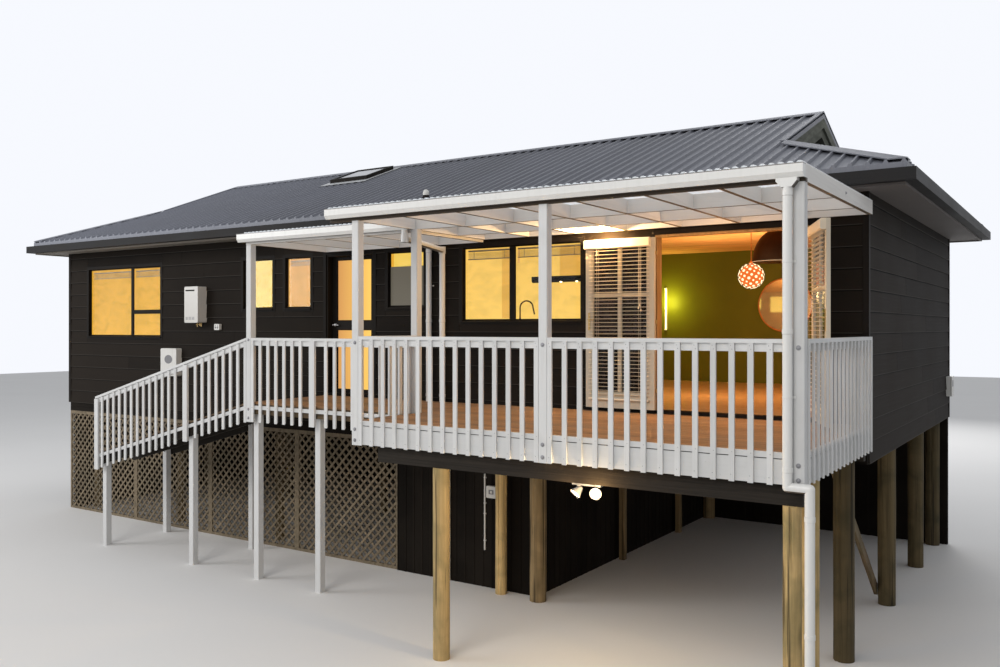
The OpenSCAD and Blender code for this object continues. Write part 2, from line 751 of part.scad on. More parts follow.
// Tilts a level sheet up the front slope, or up the right end's slope
module on_front() translate([0, eave_y, eave_z]) rotate([pitch_angle, 0, 0]) children();

module on_end() translate([end_x, ridge_y, eave_z]) rotate([0, 0, 90]) rotate([pitch_angle, 0, 0])
  children();

module both_sides() {
  children();
  translate([0, 2 * ridge_y, 0]) mirror([0, 1, 0]) children();
}

module both_ends() {
  children();
  translate([2 * mid_x, 0, 0]) mirror([1, 0, 0]) children();
}

module front_slope() intersection() {
  on_front() ribbed_sheet(start_x, end_x);
  tall() front_plan();
}

module roof_front() color(slate) place() difference() {
  front_slope();
  skylight();
  vent();
}

module roof_rear() color(slate) place()
  translate([0, 2 * ridge_y, 0]) mirror([0, 1, 0]) front_slope();

module roof_ends() color(slate) place() both_ends() intersection() {
  on_end() ribbed_sheet(eave_y - ridge_y, rear_eave_y - ridge_y);
  tall() polygon([[end_x, eave_y], [end_x, rear_eave_y], [gab_x1, rear_eave_y - gablet_in],
    [gab_x1, gab_y]]);
}

cap_t = 12;
verge_w = 70;

// The flat layer of a cap on top of the ribs, of the whole length of a slope
module cap_layer(x0, x1) translate([x0, -roof_t, rib_h])
  cube([x1 - x0, slope_len + 2 * roof_t, cap_t]);

module hip_cap() {
  across = cap_w * sqrt(2);
  intersection() {
    on_front() cap_layer(gab_x1, end_x);
    tall() polygon([[end_x, eave_y], [gab_x1, gab_y], [gab_x1, gab_y - across],
      [end_x - across, eave_y]]);
  }
  intersection() {
    on_end() cap_layer(eave_y - ridge_y, gab_y - ridge_y);
    tall() polygon([[end_x, eave_y], [end_x, eave_y + across], [gab_x1 + across, gab_y],
      [gab_x1, gab_y]]);
  }
}

// The ridge cap, and from it down each verge a flat strip to the foot of the gable
module ridge_half() intersection() {
  on_front() cap_layer(gab_x0, gab_x1);
  tall() difference() {
    translate([gab_x0, gab_y]) square([gab_x1 - gab_x0, ridge_y - gab_y]);
    translate([gab_x0 + verge_w, eave_y])
      square([gab_x1 - gab_x0 - 2 * verge_w, ridge_y - cap_w - eave_y]);
  }
}

module roof_caps() color(slate * 0.9) place() {
  both_sides() ridge_half();
  both_sides() both_ends() hip_cap();
}

barge_t = 30;
barge_w = 130;
gablet_dep = 260;
vent_x = 5907;
vent_y = 66;
vent_top = 330;

// The triangle under the roof at the small gable, let in from its sloping edges by a width
module gable_triangle(let_in = 0) {
  top_z = ridge_z - roof_t - soft;
  base_z = top_z - (ridge_y - gab_y) * rise;
  side = gab_y + let_in / rise;
  polygon([[side, base_z], [2 * ridge_y - side, base_z], [ridge_y, top_z - let_in]]);
}

// Two layers of barge boards before a panel that stands back in the dark
module gablet() difference() {
  along_x(gab_x1 - gablet_dep, gab_x1) gable_triangle();
  along_x(gab_x1 - barge_t, gab_x1 + slop) translate([0, -slop]) gable_triangle(barge_w);
  along_x(gab_x1 - gablet_dep + barge_t, gab_x1) translate([0, -slop])
    gable_triangle(2 * barge_w);
}

module gablets() color(black) place() both_ends() gablet();

// What stands above the front slope, up to a height above it measured straight up
module above_slope(up) along_x(start_x, end_x) polygon([[eave_y, eave_z], [ridge_y, ridge_z],
  [ridge_y, ridge_z + up], [eave_y, eave_z + up]]);

module skylight() intersection() {
  slab(-skylight_x - skylight_w, -skylight_x, skylight_y, skylight_y + skylight_len, eave_z,
    ridge_z + skylight_up);
  above_slope(skylight_up);
}

module vent() intersection() {
  translate([-vent_x, vent_y, eave_z]) {
    cylinder(h = vent_top - vent_d / 2, d = vent_d, $fn = 32);
    translate([0, 0, vent_top - vent_d / 2]) sphere(d = vent_d, $fn = 32);
  }
  above_slope(vent_top);
}

module roof_fittings() color(white) place() {
  skylight();
  vent();
}

// Windows and doors

frame_dep = 90;
pane_y = 40;
pane_t = 6;
window_y = 20;

bar_w = 60;

// A window frame in the plane of a wall, with its upright bar and its cross bar. Where it has
// both, the cross bar reaches only from the upright bar to the right jamb.
module window_frame(w, y0) {
  x0 = -w[0] - w[1];
  z0 = z_of(w[2]);
  h = w[3] - w[2];
  difference() {
    slab(x0, -w[0], y0, y0 + frame_dep, z0, z0 + h);
    slab(x0 + frame_w, -w[0] - frame_w, y0 - slop, y0 + frame_dep + slop, z0 + frame_w,
      z0 + h - frame_w);
  }
  bar_x = -w[0] - w[4];
  if (w[4] > 0) slab(bar_x - bar_w / 2, bar_x + bar_w / 2, y0, y0 + pane_y, z0, z0 + h);
  if (w[5] > 0) slab(w[4] > 0 ? bar_x : x0, -w[0], y0, y0 + pane_y, z_of(w[5]) - bar_w / 2,
    z_of(w[5]) + bar_w / 2);
}

// The pane stands just behind the bars
module window_pane(w, y0) {
  x0 = -w[0] - w[1];
  slab(x0 + frame_w, -w[0] - frame_w, y0 + pane_y, y0 + pane_y + pane_t, z_of(w[2]) + frame_w,
    z_of(w[3]) - frame_w);
}

front_windows = [w1, w2, w3, w4, living_window];

module at_rear() translate([0, house_dep, 0]) mirror([0, 1, 0]) children();

module window_frames() color(black) place() {
  for (w = front_windows) window_frame(w, window_y);
  for (w = rear_windows) at_rear() window_frame(w, window_y);
}

module window_glass() color(glow) place() {
  for (w = front_windows) window_pane(w, window_y);
  for (w = rear_windows) at_rear() window_pane(w, window_y);
}

meet_gap = 8;

// Each hinge axis stands hinge_out before the face of the frame, and the closed leaf lies
// leaf_gap behind that face
hinge_out = 9;
knuckle_d = 14;
knuckle_h = 45;
web_t = 4;
french_leaf_w = (french_w - 2 * jamb_t - 2 * leaf_gap - meet_gap) / 2;
leaf_h = head_z - jamb_t - leaf_gap - (inside_z + leaf_gap);

module door_frame(x0, x1) {
  difference() {
    slab(x0, x1, 0, wall_t, inside_z, head_z);
    slab(x0 + jamb_t, x1 - jamb_t, -slop, wall_t + slop, inside_z - slop, head_z - jamb_t);
  }
}

// Heights at which the two halves of each hinge meet
hinge_zs = [for (share = [0.1, 0.5, 0.9]) inside_z + leaf_gap + share * leaf_h];

// The frame's half of each hinge: a knuckle on the axis, and a web back into the jamb
module frame_knuckles() for (z = hinge_zs) translate([0, 0, z - knuckle_h]) {
  cylinder(h = knuckle_h, d = knuckle_d, $fn = 24);
  translate([-web_t, 0, 0]) cube([web_t, hinge_out + jamb_t, knuckle_h]);
}

// A leaf's half of each hinge: a knuckle that stands on the frame's, and a web to the leaf's edge
module leaf_knuckles() for (z = hinge_zs) translate([0, 0, z + soft]) {
  cylinder(h = knuckle_h, d = knuckle_d, $fn = 24);
  translate([leaf_gap - web_t, 0, 0])
    cube([web_t + slop, hinge_out + leaf_gap + leaf_t / 2, knuckle_h]);
}

glazing_bar = 30;
head_box_h = 110;
head_box_dep = 60;

// A glazed leaf of width w, closed: its hinge axis at the origin, and it runs along +X. Each row
// of panes is given by the heights of its lower and upper edges above the foot of the leaf.
module leaf(w, columns, rows) {
  pane_in = (leaf_t - pane_t) / 2;
  pane_w = (w - 2 * stile_w - (columns - 1) * glazing_bar) / columns;
  translate([leaf_gap, hinge_out + leaf_gap, inside_z + leaf_gap]) difference() {
    cube([w, leaf_t, leaf_h]);
    for (i = [0 : columns - 1], row = rows, y = [-slop, leaf_t - pane_in])
      translate([stile_w + i * (pane_w + glazing_bar), y, row[0]])
        cube([pane_w, pane_in + slop, row[1] - row[0]]);
  }
  leaf_knuckles();
}

french_pane_h = (leaf_h - 3 * stile_w - 2 * glazing_bar) / 3;
french_rows = [for (i = [0 : 2]) let (z = 2 * stile_w + i * (french_pane_h + glazing_bar))
  [z, z + french_pane_h]];
entry_rail_up = 992;
entry_rail_z = z_of(entry_rail_up) - inside_z;
entry_rail_h = 134;
entry_rows = [[stile_w / 2, entry_rail_z], [entry_rail_z + entry_rail_h, leaf_h - stile_w / 2]];

// A glazed leaf to the deck, with the box of its blind across the top of the inner face
module french_leaf(w) {
  leaf(w, 2, french_rows);
  slab(leaf_gap + stile_w / 2, leaf_gap + w, hinge_out + leaf_gap + leaf_t,
    hinge_out + leaf_gap + leaf_t + head_box_dep, inside_z + leaf_gap + leaf_h - head_box_h,
    inside_z + leaf_gap + leaf_h);
}

// Each opening's frame of reference, on its hinge axis and with its closed leaf along +X
module at_entry_hinge() translate([entry_x1 - jamb_t, wall_t + hinge_out, 0]) rotate([0, 0, 180])
  children();

module at_left_hinge() translate([french_x0 + jamb_t, -hinge_out, 0]) children();

module at_right_hinge(angle = 0) translate([french_x1 - jamb_t, -hinge_out, 0])
  rotate([0, 0, angle]) mirror([1, 0, 0]) children();

module entry_door_frame() color(black) place() {
  door_frame(entry_x0, entry_x1);
  at_entry_hinge() frame_knuckles();
}

module french_frame() color(timber) place() {
  door_frame(french_x0, french_x1);
  at_left_hinge() frame_knuckles();
  at_right_hinge() frame_knuckles();
}

module entry_door() color(black) place()
  at_entry_hinge() leaf(entry_w - 2 * jamb_t - 2 * leaf_gap, 1, entry_rows);

module french_left() color(cream) place()
  at_left_hinge() rotate([0, 0, -180]) french_leaf(french_leaf_w);

module french_right() color(cream) place()
  at_right_hinge(french_right_open) french_leaf(french_leaf_w);

module water_heater() color(white) place()
  slab(-heater_x - heater_w, -heater_x, -heater_dep, 0, z_of(heater_up),
    z_of(heater_up + heater_h));

lamp_d = 110;
lamp_xs = [-2106, -1915];
lamp_drop = 70;
lamp_tilt = 110;
lamp_stem_d = 24;
lamp_plate = [lamp_xs[1] - lamp_xs[0] + lamp_d, 60, 20];
bulkhead_x = 2994;
bulkhead_d = 170;
bulkhead_t = 70;

// Two flood lamps on a plate under the deck beam, and a round lamp on the rafter board at the wall
module outdoor_lights() color(white) place() {
  y = beam_y + beam_t / 2;
  translate([(lamp_xs[0] + lamp_xs[1]) / 2, y, beam_z - lamp_plate[2] / 2])
    cube(lamp_plate, center = true);
  for (x = lamp_xs) translate([x, y, beam_z - lamp_drop]) {
    cylinder(h = lamp_drop - lamp_plate[2] / 2, d = lamp_stem_d, $fn = 24);
    translate([0, lamp_d / 4, 0]) rotate([lamp_tilt, 0, 0])
      cylinder(h = lamp_d * 0.8, d1 = lamp_d * 0.6, d2 = lamp_d, $fn = 32);
  }
  translate([-bulkhead_x, -rafter_t, canopy_z - rafter_h / 2]) rotate([90, 0, 0])
    cylinder(h = bulkhead_t, d1 = bulkhead_d * 0.85, d2 = bulkhead_d * 0.6, $fn = 32);
}

waste_x = 5445;
conduit_x = 4840;
conduit_d = 25;
conduit_zs = [500, 1520];

// Boxes on the outer walls: [distance of the right side from the right wall, width, depth, foot
// height, height]
pump_box = [heater_x + 660, 430, 120, z_of(190), 479];
socket_in = 380;
socket_up = 988;
socket_box = [heater_x - socket_in, 126, 60, z_of(socket_up), 101];
switch_box = [conduit_x - 214, 160, 70, 1212, 158];
meter_box = [240, 90, 314];
meter_in = 60;
switch_z = 1290;

module wall_box(b) slab(-b[0] - b[1], -b[0], -b[2], 0, b[3], b[3] + b[4]);

// What is fixed to the outer walls: a pump box and a socket by the water heater, a waste pipe and
// a conduit with its switch box below the landing, and a meter box on the right wall
module service_boxes() color(white) place() {
  for (b = [pump_box, socket_box, switch_box]) wall_box(b);
  translate([-waste_x, -pipe_d / 2 - soft, 0]) cylinder(h = deck_z - board_t, d = pipe_d, $fn = 32);
  translate([-conduit_x, -conduit_d / 2, conduit_zs[0]])
    cylinder(h = conduit_zs[1] - conduit_zs[0], d = conduit_d, $fn = 24);
  translate([-conduit_x, -conduit_d / 2, switch_z]) rotate([0, 90, 0])
    cylinder(h = conduit_x - switch_box[0] - switch_box[1], d = conduit_d * 0.7, $fn = 24);
  translate([0, house_dep - meter_in - meter_box[0], z_of(-meter_in)])
    cube([meter_box[1], meter_box[0], meter_box[2]]);
}

ceiling_z = soffit_z - ceiling_t;
rod_d = 14;
ball_at = [-1882, 2003, 4171];
dome_at = [-1190, 878, 4263];
dome_wall = 12;
strip_x = 4790;
strip_w = 60;
strip_t = 40;
strip_foot = 984;
strip_len = 793;
strip_zs = [z_of(strip_foot), z_of(strip_foot + strip_len)];

// Half section of the dome pendant, from its open rim at z = 0 up to its crown
module dome_half(r) intersection() {
  difference() {
    circle(r = r, $fn = 64);
    circle(r = r - dome_wall, $fn = 64);
  }
  square(r);
}

// A ball pendant and a dome pendant on rods from the ceiling, and a slim lamp on the green wall
module indoor_lights() color([0.8, 0.45, 0.25]) place() {
  translate(ball_at) sphere(d = ball_d, $fn = 48);
  translate(ball_at) cylinder(h = ceiling_z - ball_at[2], d = rod_d, $fn = 24);
  translate(dome_at) {
    rotate_extrude($fn = 64) dome_half(dome_d / 2);
    translate([0, 0, dome_d / 2 - dome_wall])
      cylinder(h = ceiling_z - dome_at[2] - dome_d / 2 + dome_wall, d = rod_d * 2, $fn = 24);
  }
  slab(-strip_x - strip_w / 2, -strip_x + strip_w / 2, house_dep - wall_t - green_t - strip_t,
    house_dep - wall_t - green_t, strip_zs[0], strip_zs[1]);
}

mirror_at = [-2559, 3875];
mirror_rim = 25;

// A round mirror in a rim, hung on the green wall
module mirror_disc() color([0.75, 0.4, 0.25]) place()
  translate([mirror_at[0], house_dep - wall_t - green_t, mirror_at[1]]) rotate([90, 0, 0])
    rotate_extrude($fn = 96) {
      square([mirror_d / 2, mirror_rim / 3]);
      translate([mirror_d / 2 - mirror_rim, 0]) square([mirror_rim, mirror_rim]);
    }

front_poles();
right_poles();
left_poles();
knee_brace();
deck_beam();
deck_joists();
floor_frame();
carport_front_wall();
carport_side_wall();
rear_base_wall();
left_base_wall();
lattice_left();
lattice_right();
deck_boards();
landing_boards();
ramp_boards();
front_balustrade_left();
front_balustrade_right();
right_balustrade();
deck_end_balustrade();
landing_balustrade();
ramp_balustrade();
landing_posts();
canopy_posts();
canopy_frame();
canopy_sheets();
canopy_gutters();
downpipes();
entry_canopy_frame();
floor();
front_wall_base();
front_wall_left();
front_wall_middle();
front_wall_corner();
front_wall_heads();
right_wall();
left_wall();
rear_wall();
green_wall();
ceiling();
soffit();
eaves_gutter();
roof_front();
roof_rear();
roof_ends();
gablets();
roof_caps();
roof_fittings();
window_frames();
window_glass();
entry_door_frame();
entry_door();
french_frame();
french_left();
french_right();
water_heater();
outdoor_lights();
service_boxes();
indoor_lights();
mirror_disc();  // mirror
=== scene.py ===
# %% [markdown]
# # A black beach house on poles
# The house stands a full storey above its carport. A white balustrade runs round the deck and down
# a ramp, a clear roof covers the deck, and warm light fills the rooms. This lesson dresses a plain
# model of its structure: each cell makes one part of the house, or one finish.

# %% Load the structure
import math
import random

import bmesh
import bpy
import numpy as np
from mathutils import Matrix, Vector, noise


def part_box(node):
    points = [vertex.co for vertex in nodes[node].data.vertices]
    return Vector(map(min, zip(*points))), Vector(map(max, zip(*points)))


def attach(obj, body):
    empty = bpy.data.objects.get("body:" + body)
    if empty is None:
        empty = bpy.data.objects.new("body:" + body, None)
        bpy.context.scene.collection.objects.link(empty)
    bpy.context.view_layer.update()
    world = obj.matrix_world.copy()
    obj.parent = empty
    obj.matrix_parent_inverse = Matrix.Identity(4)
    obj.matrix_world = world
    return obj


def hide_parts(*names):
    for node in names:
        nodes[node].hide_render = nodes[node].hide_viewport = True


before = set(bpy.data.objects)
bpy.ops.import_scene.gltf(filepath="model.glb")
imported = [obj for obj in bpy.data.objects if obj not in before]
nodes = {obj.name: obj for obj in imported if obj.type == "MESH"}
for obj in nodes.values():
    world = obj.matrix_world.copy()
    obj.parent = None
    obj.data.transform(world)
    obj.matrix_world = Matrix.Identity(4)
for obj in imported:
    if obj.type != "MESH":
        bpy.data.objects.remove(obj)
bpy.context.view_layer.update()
print("nodes in the structure:", len(nodes))

# %% [markdown]
# A builder measures a house from its walls, so this lesson does too. X is 0 at the outer face of
# the right wall, Y is 0 at the outer face of the front wall, and Z is 0 on the ground. Everything
# is in metres. One vector moves a finished mesh from there into the frame of the structure.

# %% House measure
base_low, base_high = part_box("front_wall_base")
ORIGIN = Vector((base_high.x, base_low.y, 0.0))


def house_box(node):
    """Lowest and highest corner of a node of the structure, measured from the walls."""
    low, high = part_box(node)
    return low - ORIGIN, high - ORIGIN


def centre_of(box):
    """The middle of a box."""
    return (box[0] + box[1]) / 2


LENGTH = base_high.x - base_low.x
WALL = base_high.y - base_low.y
DEPTH = house_box("rear_wall")[1].y
SKIRT = house_box("rear_wall")[0].z
FLOOR = house_box("floor")[1].z
deck_low, deck_high = house_box("deck_boards")
DECK = deck_high.z
print("house:", round(LENGTH, 3), "by", round(DEPTH, 3), "deck at", round(DECK, 3))

# %% [markdown]
# A node may hold several solids, such as a row of poles or all the window frames. Solids that share
# no corner are told apart by passing the lowest group number along each edge until nothing changes.

# %% Separate solids of a node


def solids(node):
    """Boxes of the separate solids in a node, from left to right, in house measure."""
    mesh = nodes[node].data
    points = np.array([v.co[:] for v in mesh.vertices]) - np.array(ORIGIN)
    _, welded = np.unique(points.round(5), axis=0, return_inverse=True)
    welded = welded.ravel()
    edges = welded[np.array([e.vertices[:] for e in mesh.edges])]
    group = np.arange(welded.max() + 1)
    settled = False
    while not settled:
        before = group.copy()
        lowest = np.minimum(group[edges[:, 0]], group[edges[:, 1]])
        np.minimum.at(group, edges[:, 0], lowest)
        np.minimum.at(group, edges[:, 1], lowest)
        group = group[group]
        settled = bool((group == before).all())
    boxes = []
    for number in np.unique(group):
        own = points[group[welded] == number]
        boxes.append((Vector(own.min(0)), Vector(own.max(0))))
    return sorted(boxes, key=lambda box: (round(box[0].x, 3), round(box[0].y, 3)))


windows = solids("window_frames")
print("windows found:", len(windows))

# %% [markdown]
# Each piece of the dress is one joined mesh: a shape gathers blocks, boards, tubes and turned forms,
# and then becomes an object that rides on a part of the house. A small bevel on the finished mesh
# gives timber the worn edge that catches the light, which a sharp box never does.

# %% Shape: gathers the parts of one piece


def circle(radius, sides, centre=(0.0, 0.0)):
    """Points round a circle, as an outline."""
    turns = [math.tau * k / sides for k in range(sides)]
    return [(centre[0] + radius * math.cos(t), centre[1] + radius * math.sin(t)) for t in turns]


def inset(span, by):
    """A (low, high) pair drawn in at both ends."""
    return span[0] + by, span[1] - by


def band_faces(rings, sides):
    """Faces between rings of corners that follow each other."""
    faces = []
    for row in range(0, (rings - 1) * sides, sides):
        for k in range(sides):
            after = (k + 1) % sides
            faces.append((row + k, row + after, row + sides + after, row + sides + k))
    return faces


def end_faces(rings, sides):
    """The two faces that close the first ring and the last."""
    last = (rings - 1) * sides
    return [tuple(range(sides))[::-1], tuple(range(last, last + sides))]


class Shape:
    """Corners and faces of one piece, gathered part by part in house measure."""

    def __init__(self):
        self.corners = []
        self.faces = []
        self.finishes = []

    def add(self, corners, faces, finish=0):
        """One part, whose faces count from its own first corner."""
        start = len(self.corners)
        self.corners.extend(tuple(c) for c in corners)
        self.faces.extend(tuple(start + i for i in face) for face in faces)
        self.finishes.extend([finish] * len(faces))

    def prism(self, outline, span, axis="x", finish=0):
        """An outline in the other two axes, in their x, y, z order, drawn out along an axis."""
        at = {
            "x": lambda t, u, v: (t, u, v),
            "y": lambda t, u, v: (u, t, v),
            "z": lambda t, u, v: (u, v, t),
        }[axis]
        corners = [at(t, u, v) for t in span for u, v in outline]
        self.add(corners, band_faces(2, len(outline)) + end_faces(2, len(outline)), finish)

    def block(self, x, y, z, finish=0):
        """A box from three (low, high) pairs."""
        outline = [(y[0], z[0]), (y[1], z[0]), (y[1], z[1]), (y[0], z[1])]
        self.prism(outline, x, "x", finish)

    def tube(self, path, radius, sides=12, finish=0):
        """A closed round tube along points; radius is one number, or one for each point."""
        path = [Vector(p) for p in path]
        radii = radius if isinstance(radius, (list, tuple)) else [radius] * len(path)
        corners = []
        side = None
        for i, point in enumerate(path):
            ahead = (path[min(i + 1, len(path) - 1)] - path[max(i - 1, 0)]).normalized()
            side = side or ahead.orthogonal().normalized()
            side = (side - ahead * side.dot(ahead)).normalized()
            other = ahead.cross(side)
            for u, v in circle(1.0, sides):
                corners.append(point + (side * u + other * v) * radii[i])
        self.add(corners, band_faces(len(path), sides) + end_faces(len(path), sides), finish)

    def turned(self, profile, centre, facing=(0, 0, 1), sides=32, finish=0):
        """A form turned on a lathe: (radius, height) points about an axis through the centre."""
        spin = Vector((0, 0, 1)).rotation_difference(Vector(facing))
        corners = []
        for r, h in profile:
            corners += [Vector(centre) + spin @ Vector((u, v, h)) for u, v in circle(r, sides)]
        faces = band_faces(len(profile), sides)
        for end, point in zip(end_faces(len(profile), sides), (profile[0], profile[-1])):
            if point[0] > 0 and profile[0] != profile[-1]:
                faces.append(end)
        self.add(corners, faces, finish)

    def piece(self, name, finishes, body="house", slot=None, hides=(), bevel=0.0, smooth=False,
              seat=None):
        """Turns the shape into an object that rides on a body and hides what it stands for."""
        seat = seat or Matrix.Translation(ORIGIN)
        mesh = bpy.data.meshes.new(name)
        mesh.from_pydata([seat @ Vector(c) for c in self.corners], [], self.faces)
        finishes = finishes if isinstance(finishes, (list, tuple)) else [finishes]
        for finish in finishes:
            mesh.materials.append(finish.material)
        mesh.polygons.foreach_set("material_index", self.finishes)
        mesh.polygons.foreach_set("use_smooth", [smooth] * len(self.faces))
        tidy = bmesh.new()
        tidy.from_mesh(mesh)
        bmesh.ops.remove_doubles(tidy, verts=tidy.verts, dist=1e-6)
        bmesh.ops.dissolve_degenerate(tidy, edges=tidy.edges, dist=1e-6)
        bmesh.ops.recalc_face_normals(tidy, faces=tidy.faces)
        tidy.to_mesh(mesh)
        tidy.free()
        thing = bpy.data.objects.new(name, mesh)
        bpy.context.scene.collection.objects.link(thing)
        if smooth:
            mesh.set_sharp_from_angle(angle=math.radians(40))
        if bevel:
            soften = thing.modifiers.new("worn edge", "BEVEL")
            soften.width = bevel
            soften.segments = 1
            soften.limit_method = "ANGLE"
            soften.harden_normals = False
        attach(thing, body)
        if hides:
            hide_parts(*hides)
        print(name, "faces:", len(mesh.polygons))
        return thing


# %% [markdown]
# A surface seldom has one colour. Shader maths is easiest to read as sums, so a wire is one output
# of a node that can be added, multiplied and compared, and a finish is one material whose nodes are
# all made by one method. Numbers that stay the same go straight onto the shader's own sockets.

# %% Wire and Finish: shader maths as expressions


class Wire:
    """One output of a node, used in sums like a number."""

    def __init__(self, finish, socket):
        self.finish = finish
        self.socket = socket

    def maths(self, operation, left, right):
        """A maths node with two values or wires."""
        return self.finish.node("ShaderNodeMath", {"operation": operation}, {0: left, 1: right})

    def __add__(self, other):
        return self.maths("ADD", self, other)

    def __radd__(self, other):
        return self.maths("ADD", other, self)

    def __sub__(self, other):
        return self.maths("SUBTRACT", self, other)

    def __mul__(self, other):
        return self.maths("MULTIPLY", self, other)

    def __rmul__(self, other):
        return self.maths("MULTIPLY", other, self)

    def __truediv__(self, other):
        return self.maths("DIVIDE", self, other)

    def __gt__(self, other):
        return self.maths("GREATER_THAN", self, other)

    def __lt__(self, other):
        return self.maths("LESS_THAN", self, other)


class Finish:
    """One material: a shader, and the nodes that vary what it shows over the surface."""

    def __init__(self, name, **constants):
        self.material = bpy.data.materials.new(name)
        self.material.use_nodes = True
        self.tree = self.material.node_tree
        self.shader = self.tree.nodes["Principled BSDF"]
        self.place = self.node("ShaderNodeTexCoord", {}, {}, "Object")
        self.show(**constants)

    def plug(self, socket, value):
        """Gives a socket a wire, a colour or a number."""
        if isinstance(value, Wire):
            self.tree.links.new(value.socket, socket)
        elif isinstance(value, tuple) and len(value) == 3 and socket.type == "RGBA":
            socket.default_value = (*value, 1.0)
        else:
            socket.default_value = value

    def node(self, kind, settings, sockets, out=0):
        """Adds a node: its settings first, then the values or wires of its sockets."""
        made = self.tree.nodes.new(kind)
        for setting, value in settings.items():
            setattr(made, setting, value)
        for socket, value in sockets.items():
            self.plug(made.inputs[socket], value)
        return Wire(self, made.outputs[out])

    def show(self, **values):
        """Sets sockets of the shader, such as base_color or roughness."""
        names = {"ior": "IOR", "specular": "Specular IOR Level"}
        for key, value in values.items():
            name = names.get(key, key.replace("_", " ").title())
            self.plug(self.shader.inputs[name], value)
        return self

    def noise(self, scale, stretch=(1, 1, 1), detail=3.0, warp=0.0):
        """Cloudy values from 0 to 1, the scale in clouds to the metre, stretched along axes."""
        where = self.node("ShaderNodeMapping", {}, {"Vector": self.place, "Scale": stretch})
        sockets = {"Vector": where, "Scale": scale, "Detail": detail, "Distortion": warp}
        return self.node("ShaderNodeTexNoise", {}, sockets, "Fac")

    def spread(self, value, low, high, start=0.0, end=1.0):
        """Values between low and high, spread from start to end and held there."""
        sockets = {"Value": value, "From Min": low, "From Max": high, "To Min": start, "To Max": end}
        return self.node("ShaderNodeMapRange", {}, sockets)

    def mix(self, first, second, factor):
        """A colour between two colours."""
        sockets = {0: factor, 6: first, 7: second}
        return self.node("ShaderNodeMix", {"data_type": "RGBA"}, sockets, 2)

    def each(self):
        """One random value from 0 to 1 for each loose part of a mesh, such as a board."""
        return self.node("ShaderNodeNewGeometry", {}, {}, "Random Per Island")

    def part(self, axis):
        """The place along one axis of the structure, 0 for X, 1 for Y or 2 for Z."""
        return self.node("ShaderNodeSeparateXYZ", {}, {"Vector": self.place}, axis)

    def relief(self, height, distance, strength=1.0):
        """Raises the surface by a height, in metres, as light sees it."""
        sockets = {"Height": height, "Distance": distance, "Strength": strength}
        self.show(normal=self.node("ShaderNodeBump", {}, sockets, "Normal"))
        return self


def shades(colour, factor):
    """A colour made lighter or darker by a factor."""
    return tuple(min(1.0, c * factor) for c in colour)


# %% [markdown]
# The paint on the weatherboards is a warm near-black. Each board has taken up a little more or less
# of it, dust lies in broad patches, and the sawn grain runs along the boards, which is why the grain
# noise is stretched fifty times more along the wall than up it.

# %% Black paint on boards
ALONG = (1.2, 1.2, 60.0)
UPRIGHT = (60.0, 60.0, 1.2)
DUST = (0.030, 0.025, 0.020)


def black_paint(name, colour, grain_way, sheen=0.66, shine=0.08):
    """Dark paint on sawn boards, with dust in patches."""
    finish = Finish(name, specular=shine)
    grain = finish.noise(1.0, grain_way, detail=6.0)
    dust = finish.spread(finish.noise(1.1, detail=5.0, warp=0.4), 0.45, 0.8, 0.0, 0.45)
    board = finish.mix(shades(colour, 0.72), shades(colour, 1.35), finish.each())
    worn = finish.mix(board, shades(colour, 1.9), finish.spread(grain, 0.55, 0.75, 0.0, 0.45))
    finish.show(base_color=finish.mix(worn, DUST, dust))
    finish.show(roughness=sheen + 0.12 * grain + 0.2 * dust)
    return finish.relief(grain, 0.0012, 0.7)


boards_black = black_paint("boards_black", (0.0115, 0.0085, 0.0062), ALONG)
lining_black = black_paint("lining_black", (0.0085, 0.0065, 0.0048), UPRIGHT, sheen=0.75)
frames_black = black_paint("frames_black", (0.0090, 0.0070, 0.0055), UPRIGHT, sheen=0.5)
gutter_black = black_paint("gutter_black", (0.0100, 0.0095, 0.0100), ALONG, sheen=0.50, shine=0.15)

# %% [markdown]
# The white timber is cool and a little chalky. Grime lies over it in soft patches and in small
# specks, and streaks of grain show through. The specks come from a fine noise that is cut hard, the
# patches from a broad one.

# %% White paint on timber
CHALK = (0.600, 0.600, 0.595)
GRIME = (0.270, 0.262, 0.225)


def white_paint(name, colour, grain_way, grime=0.5):
    """Chalky paint with grime in patches and specks."""
    finish = Finish(name, specular=0.25)
    grain = finish.noise(1.0, grain_way, detail=5.0)
    patches = finish.spread(finish.noise(2.3, detail=6.0, warp=0.6), 0.5, 0.85, 0.0, 0.4 * grime)
    specks = finish.spread(finish.noise(60.0, detail=2.0), 0.72, 0.76, 0.0, 0.6 * grime)
    board = finish.mix(shades(colour, 0.93), shades(colour, 1.05), finish.each())
    streaked = finish.mix(board, shades(colour, 0.86), finish.spread(grain, 0.5, 0.75, 0.0, 0.5))
    soiled = finish.mix(streaked, GRIME, patches)
    finish.show(base_color=finish.mix(soiled, shades(GRIME, 0.6), specks))
    finish.show(roughness=0.42 + 0.2 * grain)
    return finish.relief(grain, 0.0008, 0.5)


white_upright = white_paint("white_upright", CHALK, UPRIGHT)
white_along = white_paint("white_along", CHALK, ALONG)
white_canopy = white_paint("white_canopy", (0.72, 0.70, 0.67), (1.5, 1.5, 40.0), grime=0.3)


def tint(finish, colour, where):
    """Lays a colour over what a finish shows already, where a value says so."""
    shown = Wire(finish, finish.shader.inputs["Base Color"].links[0].from_socket)
    finish.show(base_color=finish.mix(shown, colour, where))


def shade_undersides(finish, colour):
    """Darkens the faces that look down, as painted shade."""
    way = finish.node("ShaderNodeNewGeometry", {}, {}, "Normal")
    upward = finish.node("ShaderNodeSeparateXYZ", {}, {"Vector": way}, 2)
    tint(finish, colour, upward < -0.6)


